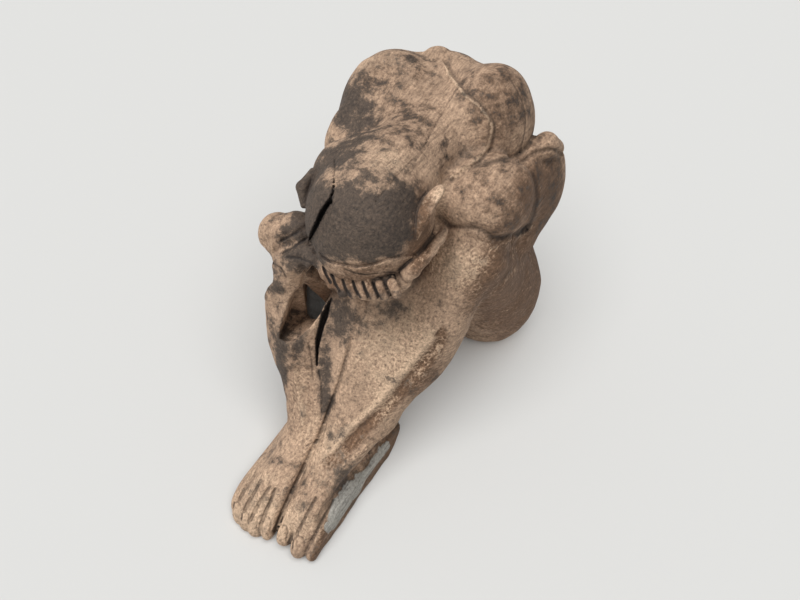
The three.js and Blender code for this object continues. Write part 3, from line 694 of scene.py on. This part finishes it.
# Picture boxes of the closely carved places, with the spacing wanted there in mm
CLOSE_WORK = [
    ((296, 165, 330, 262), 1.2), ((318, 244, 424, 302), 1.0), ((400, 182, 456, 290), 1.2),
    ((258, 205, 340, 345), 1.5), ((300, 285, 336, 425), 1.2), ((228, 462, 345, 562), 1.3),
]


def to_row(q):
    """A point of the carver's frame in the frame of the row, in metres."""
    return Vector((q + CARVER_ORIGIN) * MM)


def add_thin_parts(bm):
    """Adds cores for the fingers and the long ear, which are too fine for the solid."""
    lobe = [in_picture(u, v, w) for u, v, w in LOBE]
    stubs = finger_bars() + list(zip(lobe[:-1], lobe[1:], LOBE_RADII[:-1], LOBE_RADII[1:]))
    for a, b, ra, rb in stubs:
        turn = Vector(b - a).to_track_quat("Z", "Y").to_matrix().to_4x4()
        size = Matrix.Diagonal((ra, ra, rb + np.linalg.norm(b - a) / 2, 1)) * MM
        size[3][3] = 1
        place = Matrix.Translation(to_row((a + b) / 2)) @ turn @ size
        bmesh.ops.create_icosphere(bm, subdivisions=2, radius=1, matrix=place)
    rows = [[bm.verts.new(to_row(in_picture(u, v, ear_height(v)))) for u in (left, right)]
            for v, left, right in EAR_ROWS]
    leaf = [bm.faces.new((a, b, d, c)) for (a, b), (c, d) in zip(rows[:-1], rows[1:])]
    made = bmesh.ops.extrude_face_region(bm, geom=leaf, use_keep_orig=True)["geom"]
    far = [g for g in made if isinstance(g, bmesh.types.BMVert)]
    bmesh.ops.translate(bm, verts=far, vec=Vector(-VIEW_BACK * EAR_THICKNESS * MM))
    sides = {face for x in far for face in x.link_faces}
    bmesh.ops.recalc_face_normals(bm, faces=list(sides | set(leaf)))


def refined(obj, form):
    """Divides the skin where the carving is close, and settles it again."""
    p = to_rows(obj.data)
    u, v, _ = seen(p)
    head, front, feet = zones(p)
    bm = bmesh.new()
    bm.from_mesh(obj.data)
    bm.verts.ensure_lookup_table()
    wanted = np.full(p.shape[1], 1e3)
    for (u0, v0, u1, v1), size in CLOSE_WORK:
        inside = (u > u0) & (u < u1) & (v > v0) & (v < v1) & (head | front | feet)
        wanted[inside] = np.minimum(wanted[inside], size)
    for line in FINE_LINES:
        close = line_distance(u, v, line) < 3
        wanted[close] = np.minimum(wanted[close], 1.1)
    edges = []
    for edge in bm.edges:
        size = max(wanted[edge.verts[0].index], wanted[edge.verts[1].index])
        if edge.calc_length() / MM > 1.5 * size:
            edges.append(edge)
    bmesh.ops.subdivide_edges(bm, edges=edges, cuts=1, use_grid_fill=True)
    bm.to_mesh(obj.data)
    bm.free()
    p = settle(form, to_rows(obj.data), 2)
    p = settle(form, relaxed(obj.data, p, 0.3), 1)
    from_rows(obj.data, p)


def settle(form, p, rounds, reach=3.0):
    """Moves points onto the form, along its slope."""
    h = 0.25
    for _ in range(rounds):
        d = form(p)
        slope = np.empty_like(p)
        for axis in range(3):
            q = p.copy()
            q[axis] += h
            slope[axis] = (form(q) - d) / h
        steep = np.maximum((slope * slope).sum(0), 0.15)
        p = p - slope * np.clip(d / steep, -reach, reach)
    return p


def to_rows(mesh):
    """The mesh's points as three rows, in mm, in the carver's frame."""
    co = np.empty(len(mesh.vertices) * 3)
    mesh.vertices.foreach_get("co", co)
    return (co.reshape(-1, 3) / MM - CARVER_ORIGIN).T.copy()


def from_rows(mesh, p):
    """Puts such rows back into the mesh."""
    co = ((p.T + CARVER_ORIGIN) * MM).ravel()
    mesh.vertices.foreach_set("co", co)
    mesh.update()


def baked(obj):
    """The object's mesh with its modifiers worked in."""
    graph = bpy.context.evaluated_depsgraph_get()
    mesh = bpy.data.meshes.new_from_object(obj.evaluated_get(graph))
    obj.modifiers.clear()
    old = obj.data
    obj.data = mesh
    bpy.data.meshes.remove(old)
    return mesh


def reskinned(obj, size):
    """Wraps everything in one even skin with the point spacing given."""
    remesh = obj.modifiers.new("skin", "REMESH")
    remesh.mode = "VOXEL"
    remesh.voxel_size = size
    remesh.use_smooth_shade = True
    return baked(obj)


def relaxed(mesh, p, share):
    """Evens out the spacing of the points."""
    edges = np.empty(len(mesh.edges) * 2, dtype=np.int64)
    mesh.edges.foreach_get("vertices", edges)
    a, b = edges[0::2], edges[1::2]
    n = p.shape[1]
    count = np.bincount(a, minlength=n) + np.bincount(b, minlength=n)
    mean = np.stack([
        np.bincount(a, p[axis][b], n) + np.bincount(b, p[axis][a], n) for axis in range(3)
    ]) / np.maximum(count, 1)
    return p + (mean - p) * share


def soft_sun(name, strength, spread, towards, lit):
    """A broad distant lamp that lights only the objects given."""
    lamp = bpy.data.lights.new(name, "SUN")
    lamp.energy = strength
    lamp.angle = spread
    obj = bpy.data.objects.new(name, lamp)
    obj.rotation_euler = Vector(towards).to_track_quat("Z", "Y").to_euler()
    bpy.context.scene.collection.objects.link(obj)
    group = bpy.data.collections.new(name + "_lights")
    for other in lit:
        group.objects.link(other)
    obj.light_linking.receiver_collection = group


def carved_figure(settings):
    """A copy of the solid, with the carved skin worked over it."""
    node = frame["nodes"][NODE]
    obj = bpy.data.objects.new("carved_figure", node.data.copy())
    bpy.context.scene.collection.objects.link(obj)
    bm = bmesh.new()
    bm.from_mesh(obj.data)
    bmesh.ops.remove_doubles(bm, verts=bm.verts, dist=1e-6)
    add_thin_parts(bm)
    bm.to_mesh(obj.data)
    bm.free()

    mesh = reskinned(obj, settings.first_skin)
    p = settle(fine_form, to_rows(mesh), 2, reach=12.0)
    from_rows(mesh, p)
    mesh = reskinned(obj, settings.fine_skin)
    p = settle(fine_form, to_rows(mesh), 2)
    p = settle(fine_form, relaxed(mesh, p, 0.4), 1)
    from_rows(mesh, p)
    for _ in range(2):
        refined(obj, fine_form)
    p = to_rows(mesh)
    head, front, _ = zones(p)
    p = opened(p, head, CHECK, depth=20, wall=1.3)
    p = opened(p, front, SPLIT, depth=15, wall=1.5)
    for line in FINGER_GAPS:
        p = scored(p, head & (p[1] < -150), line, depth=4.5, half=1.9)
    for line in TORN_LINES:
        p = scored(p, head & (p[1] < -120), line, depth=3.0, half=2.4)
    p[2] = np.maximum(p[2], 0.0)
    from_rows(mesh, p)
    faces = sum(len(f.vertices) - 2 for f in mesh.polygons)
    if faces > settings.most_faces:
        thin = obj.modifiers.new("thin", "DECIMATE")
        thin.ratio = settings.most_faces / faces
        mesh = baked(obj)
    mesh.polygons.foreach_set("use_smooth", [True] * len(mesh.polygons))
    return obj


# Stains of the wood and painted shade, as they show from the viewing point: middle, half sizes,
# amount.
# A negative amount keeps a place clean.

PATINA = [
    ((352, 226), (54, 38), 1.8), ((314, 205), (12, 40), 1.0), ((336, 160), (24, 16), 0.7),
    ((355, 115), (20, 40), 0.75), ((402, 112), (40, 54), 0.4),
    ((342, 92), (12, 26), 0.4), ((398, 200), (24, 34), 0.6),
    ((458, 150), (18, 16), 0.25), ((500, 165), (22, 10), 0.25), ((500, 100), (26, 40), 0.15),
    ((290, 232), (22, 24), 0.5), ((300, 262), (24, 14), 1.2), ((276, 285), (8, 12), 0.7),
    ((342, 318), (15, 30), 0.95), ((288, 330), (16, 26), 0.5), ((282, 375), (6, 40), 0.95),
    ((325, 372), (8, 40), 0.95), ((300, 350), (9, 16), 0.4), ((392, 308), (16, 14), 0.4),
    ((340, 470), (14, 24), 0.3), ((437, 385), (10, 30), 0.5), ((296, 186), (12, 26), 1.2),
    ((475, 262), (16, 22), 0.3), ((470, 100), (16, 26), 0.15), ((280, 460), (14, 16), 0.25),
    ((364, 274), (52, 15), -1.0), ((430, 214), (15, 36), -0.9), ((418, 262), (16, 22), -0.7),
    ((268, 528), (60, 24), -0.35), ((395, 345), (48, 36), -0.15), ((514, 290), (46, 50), -0.5),
]
# Brown wood, partly painted shade on the sides turned from the key light, such as the hip, the
# thigh and the calf
BROWN_AND_SHADE = [
    ((406, 112), (42, 56), 0.45), ((300, 380), (26, 60), 0.35), ((288, 235), (24, 30), 0.3),
    ((362, 270), (52, 12), 0.5), ((360, 288), (44, 14), 0.5), ((422, 250), (14, 28), 0.9),
    ((545, 200), (28, 50), 0.9), ((512, 288), (46, 60), 1.3), ((405, 215), (26, 40), 0.5),
    ((432, 388), (22, 34), 0.9), ((370, 495), (60, 60), 0.4), ((500, 185), (44, 44), 0.35),
    ((500, 100), (36, 50), 0.6), ((320, 290), (20, 14), 0.8), ((424, 215), (6, 18), 0.5),
]
PALE = [
    ((333, 112), (12, 34), 0.2), ((375, 62), (40, 10), 0.4), ((300, 385), (8, 34), 0.5),
    ((385, 395), (14, 30), 0.6), ((268, 522), (60, 26), 1.0), ((395, 340), (48, 40), 0.8),
    ((322, 430), (30, 26), 0.5), ((440, 196), (5, 14), 0.8), ((560, 148), (12, 8), 0.4),
    ((458, 262), (30, 26), 0.9), ((385, 162), (26, 16), 0.8), ((330, 465), (40, 30), 0.6),
    ((265, 480), (24, 24), 0.5),
]
# Outline of the silver-grey cut edge of the left foot
SILVER_EDGE = [
    (388, 438), (376.7, 451.7), (366.7, 466.7), (353, 479), (342, 489), (333, 500), (329, 513),
    (324, 529), (328, 533), (335, 528), (343, 515), (351.7, 501.7), (360, 491.7), (365, 480),
    (375, 466.7), (390, 446.7),
]

# Distances in mm at which a point is tested for lying in a crease, or on an edge
SUNK_REACHES = (2.2, 7)
BARE_REACHES = (6, 2.5)

# Painted shade along lines: the lines, how dark they are, how solid their middle is and their width
SHADED_LINES = [
    (HAIRLINES + SHIN_LINES, 0.5, 1.4, 0.7),
    ([ARM_CREASE, DOME_CREASE, ROLL_FOLD, CLOTH_EDGE], 0.5, 1.4, 2.2),
    (TOE_LINES + [BETWEEN_LEGS], 0.6, 1.5, 1.5),
    (NAILS + [DOME_LINE], 0.45, 1.4, 0.8),
]


def placed(u, v, facing, places):
    """The stains that lie over each point, where it faces the viewing point."""
    total = np.zeros(u.shape)
    for (cu, cv), (ru, rv), amount in places:
        total += amount * np.exp(-(((u - cu) / ru) ** 2 + ((v - cv) / rv) ** 2) ** 1.5)
    return total * facing


def painted_line_shade(p, u, v, facing):
    """How dark the painted shade is in the splits, cracks, creases and gaps, and the painted shadow
    under the hair rim.
    """
    inside = clamp01((-fine_form(p) - 1.0) / 3.0)
    check = area_distance(u, v, CHECK) < 1
    split = area_distance(u, v, SPLIT) < 1
    dark = inside * np.maximum(check, 0.5 * split)
    hands = (p[1] < -120) * (p[2] > 270)
    for line in FINGER_GAPS + TORN_LINES:
        ink = clamp01(1.3 - line_distance(u, v, line) / 1.1) * hands
        dark = np.maximum(dark, 0.55 * ink * facing)
    for lines, share, core, width in SHADED_LINES:
        for line in lines:
            ink = clamp01(core - line_distance(u, v, line) / width)
            dark = np.maximum(dark, share * ink * facing)
    # painted shadow just below the hair rim
    rim = signed_line(u, v, HAIR_RIM)
    shadow_under_rim = np.exp(-(((rim - 3.0) / 1.6) ** 2)) * (p[2] > HAIR_RIM_LOW)
    return np.maximum(dark, 0.5 * shadow_under_rim * facing)


def paint(obj):
    """Keeps on each point how sunk, how exposed and how stained the wood is there, and the shade
    and highlights painted on it.
    """
    mesh = obj.data
    p = to_rows(mesh)
    normal = np.empty(len(mesh.vertices) * 3)
    mesh.vertex_normals.foreach_get("vector", normal)
    normal = normal.reshape(-1, 3).T
    u, v, _ = seen(p)
    _, front, feet = zones(p)
    facing = ease(2.5 * (VIEW_BACK @ normal) + 0.4)
    sunk, bare = 0.0, 0.0
    # how deep each point lies in a crease, for the dirt and painted shade of the creases
    for reach in SUNK_REACHES:
        sunk = sunk + clamp01(1 - fine_form(p + reach * normal) / reach)
    for reach in BARE_REACHES:
        bare = bare + clamp01(1 + fine_form(p - reach * normal) / reach)
    a, b, w = VIEW_RIGHT @ p, VIEW_UP @ p, VIEW_BACK @ p
    deep = (w < HOLLOW_FLOOR - 3) & (p[1] < -60) & (p[2] < 300)
    pocket = (area_distance(a, b, POCKET) < 1.5) & deep
    # painted shade on the cut wall of the left foot, which faces away from the key light, laid into
    # the brown
    wall = ease((p[0] - 55) / 3) * ease((48 - p[2]) / 5) * ease((SLICE_START - p[1]) / 10)
    silver = ease(0.6 - area_distance(u, v, SILVER_EDGE) / 2.5) * feet * facing
    # wear along the hair rim, and a painted highlight along the shin crest
    rim = signed_line(u, v, HAIR_RIM)
    rubbed_and_highlit = np.exp(-((rim / 1.7) ** 2)) * (p[2] > HAIR_RIM_LOW) * facing
    shin = signed_line(u, v, SHIN_CREST)
    rubbed_and_highlit = rubbed_and_highlit + np.exp(-(((shin + 1.5) / 3.5) ** 2)) * front * facing
    # painted shade in the hollow below the shin crest, laid into the brown
    shade_under_crest = ease((shin - 2) / 4) * ease((20 - shin) / 8) * front * facing
    layers = {
        "sunk": sunk,
        "bare": bare,
        # painted shade in the splits, cracks, creases and gaps
        "split_and_crease_shade": painted_line_shade(p, u, v, facing),
        "pocket": pocket.astype(float),
        "patina": placed(u, v, facing, PATINA),
        "brown": placed(u, v, facing, BROWN_AND_SHADE) + shade_under_crest,
        "pale": placed(u, v, facing, PALE) + rubbed_and_highlit,
        "silver": silver,
        "wall": wall,
    }
    for name, values in layers.items():
        layer = mesh.attributes.new(name, "FLOAT", "POINT")
        layer.data.foreach_set("value", values.astype(np.float32))


# Finishes


def linear(hex_colour):
    """sRGB hex to linear RGBA."""
    shares = [int(hex_colour[i:i + 2], 16) / 255 for i in (1, 3, 5)]
    flat = [c / 12.92 if c <= 0.04045 else ((c + 0.055) / 1.055) ** 2.4 for c in shares]
    return (*flat, 1.0)


def add(tree, kind, inputs=None, **settings):
    """Adds a node with its settings, and links or sets its inputs."""
    made = tree.nodes.new(kind)
    for name, value in settings.items():
        setattr(made, name, value)
    for name, value in (inputs or {}).items():
        if isinstance(value, bpy.types.NodeSocket):
            tree.links.new(value, made.inputs[name])
        else:
            made.inputs[name].default_value = value
    return made


def fresh_material(name):
    material = bpy.data.materials.new(name)
    material.use_nodes = True
    material.node_tree.nodes.clear()
    return material, material.node_tree


def noise(tree, place, size_mm, detail=4.0, roughness=0.6):
    """Noise whose largest features are about size_mm across."""
    return add(tree, "ShaderNodeTexNoise", {
        "Vector": place, "Scale": 1000.0 / size_mm, "Detail": detail,
        "Roughness": roughness}).outputs["Fac"]


def sums(tree, first, *terms):
    """first + term * factor, for each pair of term and factor."""
    total = first
    for term, factor in terms:
        total = add(tree, "ShaderNodeMath", {0: term, 1: factor, 2: total},
                    operation="MULTIPLY_ADD").outputs[0]
    return total


def between(tree, value, low, high):
    """Smooth step from 0 at low to 1 at high."""
    return add(tree, "ShaderNodeMapRange", {
        "Value": value, "From Min": low, "From Max": high},
        interpolation_type="SMOOTHSTEP").outputs["Result"]


def mixed(tree, share, a, b, blend_type="MIX"):
    """Colour a with a share of colour b."""
    return add(tree, "ShaderNodeMix", {"Factor": share, "A": a, "B": b}, data_type="RGBA",
               blend_type=blend_type).outputs["Result"]


def point(tree, name):
    """What is kept on each point of the skin under a name."""
    return add(tree, "ShaderNodeAttribute", attribute_name=name).outputs["Fac"]


def weathered_hardwood(colours):
    """Old dry hardwood: matt, tan where worn, with grey-brown patina in blotches and specks, and
    painted shade.
    """
    material, tree = fresh_material("weathered_hardwood")
    place = add(tree, "ShaderNodeTexCoord").outputs["Object"]
    # fibres: the pattern is drawn out along the grain of the log
    fibre_place = add(tree, "ShaderNodeMapping", {
        "Vector": place, "Rotation": (math.radians(-GRAIN_RISE), 0.0, 0.0),
        "Scale": (1.0, GRAIN_STRETCH, 1.0)}).outputs["Vector"]
    blotch = noise(tree, place, 70, 3.0, 0.6)
    patch = noise(tree, place, 15, 9.0, 0.74)
    speck = noise(tree, place, 3.4, 3.0, 0.75)
    fibre = noise(tree, fibre_place, 3.0, 3.0, 0.7)

    # brown where the wood is handled and sheltered, and as painted shade on the sides turned from
    # the key light, below the shin crest and on the cut wall of the foot; tan elsewhere
    brown = between(tree, sums(tree, -1.55, (point(tree, "brown"), 0.8), (patch, 2.0),
                               (blotch, 1.0), (point(tree, "wall"), 0.9)), -0.15, 0.75)
    colour = mixed(tree, brown, linear(colours.wood), linear(colours.brown))
    # pale where the edges are rubbed, and a painted highlight along the shin crest
    pale = between(tree, sums(tree, -2.3, (point(tree, "pale"), 0.7), (point(tree, "bare"), 0.25),
                              (patch, 2.0), (speck, 1.2), (fibre, 1.1)), 0.0, 0.7)
    colour = mixed(tree, pale, colour, linear(colours.pale))
    # grey-brown patina in broken patches with specks round them
    patina = between(tree, sums(tree, -3.7, (point(tree, "patina"), 0.76), (blotch, 1.7),
                                (patch, 3.2), (speck, 1.3), (fibre, 0.9)), -0.1, 0.5)
    shade = mixed(tree, speck, linear(colours.patina), linear(colours.thin_patina))
    colour = mixed(tree, sums(tree, 0.0, (patina, 0.9)), colour, shade)
    # dirt and painted shade in the creases
    dirt_and_shade = between(tree, sums(tree, -0.45, (point(tree, "sunk"), 0.62), (speck, 0.7)), 0.0, 1.0)
    colour = mixed(tree, dirt_and_shade, colour, linear(colours.dirt_and_shade))
    # silver-grey bare wood on the cut edge of the foot
    silver = between(tree, sums(tree, -0.45, (point(tree, "silver"), 1.0), (patch, 0.35)), 0.0, 0.4)
    colour = mixed(tree, silver, colour, linear(colours.silver))
    # small light and dark fibres over everything
    grain = sums(tree, -0.98, (fibre, 2.0), (speck, 2.0))
    grain = add(tree, "ShaderNodeCombineColor", {
        "Red": grain, "Green": grain, "Blue": grain}).outputs[0]
    colour = mixed(tree, 1.0, colour, grain, "MULTIPLY")
    # painted shade in the splits, cracks, creases and gaps
    colour = mixed(tree, point(tree, "split_and_crease_shade"), colour, linear(colours.split_and_crease_shade))
    colour = mixed(tree, point(tree, "pocket"), colour, linear(colours.pocket))

    rough_skin = sums(tree, 0.86, (patina, -0.16))
    height = sums(tree, 0.0, (fibre, 0.9), (speck, 0.8), (patch, 1.6))
    bump = add(tree, "ShaderNodeBump", {
        "Height": height, "Strength": 1.0, "Distance": 0.0013}).outputs["Normal"]
    skin = add(tree, "ShaderNodeBsdfPrincipled", {
        "Base Color": colour, "Roughness": rough_skin, "IOR": 1.5, "Normal": bump})
    add(tree, "ShaderNodeOutputMaterial", {"Surface": skin.outputs["BSDF"]})
    return material


def pale_board(colours):
    """Matt pale board of a photo studio, without pattern, so that the shadow shows."""
    material, tree = fresh_material("pale_studio_board")
    skin = add(tree, "ShaderNodeBsdfPrincipled", {
        "Base Color": linear(colours.floor), "Roughness": 0.9, "IOR": 1.45})
    add(tree, "ShaderNodeOutputMaterial", {"Surface": skin.outputs["BSDF"]})
    return material


class FigureSizes(bpy.types.PropertyGroup):
    """How fine the skin of the figure is"""

    first_skin: bpy.props.FloatProperty(
        name="First skin", description="Point spacing of the first skin",
        default=0.003, unit="LENGTH")
    fine_skin: bpy.props.FloatProperty(
        name="Fine skin", description="Point spacing of the finished skin before thinning",
        default=0.0023, unit="LENGTH")
    most_faces: bpy.props.IntProperty(
        name="Most faces", description="Triangles left in the finished skin", default=192000)


def colour(name, use, default):
    return bpy.props.StringProperty(name=name, description="Colour of the " + use, default=default)


class FigureColours(bpy.types.PropertyGroup):
    """Colours of the wood and the floor, as sRGB hex"""

    wood: colour("Worn wood", "worn faces", "#AC9078")
    # brown is also the painted shade on the sides turned from the key light
    brown: colour("Brown wood", "sheltered_and_shaded wood", "#6E533E")
    # pale is also the painted highlight along the shin crest
    pale: colour("Pale edges", "rubbed edges", "#C2A68B")
    patina: colour("Patina", "dark patina", "#241E1B")
    thin_patina: colour("Thin patina", "patina where it is thin", "#43382F")
    # dirt and painted shade in the creases
    dirt_and_shade: colour("Dirt", "dirt in the creases", "#3A2F28")
    silver: colour("Silver wood", "grey cut edge", "#A19D95")
    # painted shade in the splits, cracks, creases and gaps
    split_and_crease_shade: colour("Cracks", "inside of the splits", "#16110E")
    pocket: colour("Pocket", "deep pocket in the shin", "#B4B4B2")
    floor: colour("Floor", "studio floor", "#CFCFCD")


def strength(name, use, default):
    return bpy.props.FloatProperty(
        name=name, description="Strength of the light on the " + use, default=default)


def spread(name, use, degrees):
    return bpy.props.FloatProperty(
        name=name, description="Breadth of the lamp on the " + use,
        default=math.radians(degrees), subtype="ANGLE")


class StageLight(bpy.types.PropertyGroup):
    """Strengths and spreads of the lamps"""

    key: strength("Key", "figure from its right", 2.7)
    key_spread: spread("Key spread", "figure from its right", 28)
    fill: strength("Fill", "figure from the front", 0.7)
    fill_spread: spread("Fill spread", "figure from the front", 120)
    floor_fill: strength("Floor", "floor", 3.15)
    floor_spread: spread("Floor spread", "floor", 60)
    around: strength("Around", "scene from all sides", 0.32)


class FIGURE_OT_carve(bpy.types.Operator):
    """Carve the seated figure over its solid"""

    bl_idname = "figure.carve"
    bl_label = "Carve figure"

    def execute(self, context):
        obj = carved_figure(context.scene.figure_sizes)
        paint(obj)
        obj.data.materials.clear()
        obj.data.materials.append(weathered_hardwood(context.scene.figure_colours))
        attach(obj, "root")
        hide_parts(NODE)
        return {"FINISHED"}


class FIGURE_OT_stage(bpy.types.Operator):
    """Set the floor, the soft light and the camera"""

    bl_idname = "figure.stage"
    bl_label = "Set stage"

    def execute(self, context):
        scene = context.scene
        light = scene.stage_light
        bm = bmesh.new()
        bmesh.ops.create_grid(bm, x_segments=1, y_segments=1, size=FLOOR_HALF)
        mesh = bpy.data.meshes.new("studio_floor")
        bm.to_mesh(mesh)
        bm.free()
        floor = bpy.data.objects.new("studio_floor", mesh)
        scene.collection.objects.link(floor)
        mesh.materials.append(pale_board(scene.figure_colours))

        world = bpy.data.worlds.new("studio")  # even white light from all sides
        world.use_nodes = True
        back = world.node_tree.nodes["Background"]
        back.inputs["Color"].default_value = (1.0, 1.0, 1.0, 1.0)
        back.inputs["Strength"].default_value = light.around
        scene.world = world

        figure = [o for o in scene.objects if o.name == "carved_figure"]
        above = np.array([0.0, 0.0, 1.0])
        from_left = -VIEW_RIGHT * 0.55 + above + VIEW_BACK * 0.35
        from_front = above * 0.6 + VIEW_BACK
        from_above = above + VIEW_BACK * 1.3
        soft_sun("key", light.key, light.key_spread, from_left, figure)
        soft_sun("fill", light.fill, light.fill_spread, from_front, figure)
        soft_sun("floor_fill", light.floor_fill, light.floor_spread, from_above, [floor])

        lens = bpy.data.cameras.new("camera")
        lens.sensor_width = 36.0  # mm
        lens.lens = lens.sensor_width * VIEW_LENGTH / PICTURE_WIDTH
        lens.clip_end = 60.0
        camera = bpy.data.objects.new("camera", lens)
        axes = Matrix((VIEW_RIGHT, VIEW_UP, VIEW_BACK)).transposed().to_4x4()
        axes.translation = Vector((VIEW_POINT + CARVER_ORIGIN) * MM)
        camera.matrix_world = axes
        scene.collection.objects.link(camera)
        scene.camera = camera
        scene.view_settings.view_transform = "Standard"
        return {"FINISHED"}


class FIGURE_PT_panel(bpy.types.Panel):
    """Sidebar panel with the sizes, the colours, the lamps and both operators"""

    bl_label = "Praying figure"
    bl_idname = "FIGURE_PT_panel"
    bl_space_type = "VIEW_3D"
    bl_region_type = "UI"
    bl_category = "Carving"

    def draw(self, context):
        scene = context.scene
        for group in (scene.figure_sizes, scene.figure_colours, scene.stage_light):
            for name in group.bl_rna.properties.keys():
                if name not in ("rna_type", "name"):
                    self.layout.prop(group, name)
        self.layout.operator(FIGURE_OT_carve.bl_idname)
        self.layout.operator(FIGURE_OT_stage.bl_idname)


CLASSES = (
    FigureSizes, FigureColours, StageLight, FIGURE_OT_carve, FIGURE_OT_stage, FIGURE_PT_panel,
)


def register():
    for cls in CLASSES:
        bpy.utils.register_class(cls)
    bpy.types.Scene.figure_sizes = bpy.props.PointerProperty(type=FigureSizes)
    bpy.types.Scene.figure_colours = bpy.props.PointerProperty(type=FigureColours)
    bpy.types.Scene.stage_light = bpy.props.PointerProperty(type=StageLight)


def unregister():
    del bpy.types.Scene.stage_light
    del bpy.types.Scene.figure_colours
    del bpy.types.Scene.figure_sizes
    for cls in reversed(CLASSES):
        bpy.utils.unregister_class(cls)


def main():
    register()
    bpy.ops.figure.carve()
    bpy.ops.figure.stage()


if __name__ == "__main__":
    main()
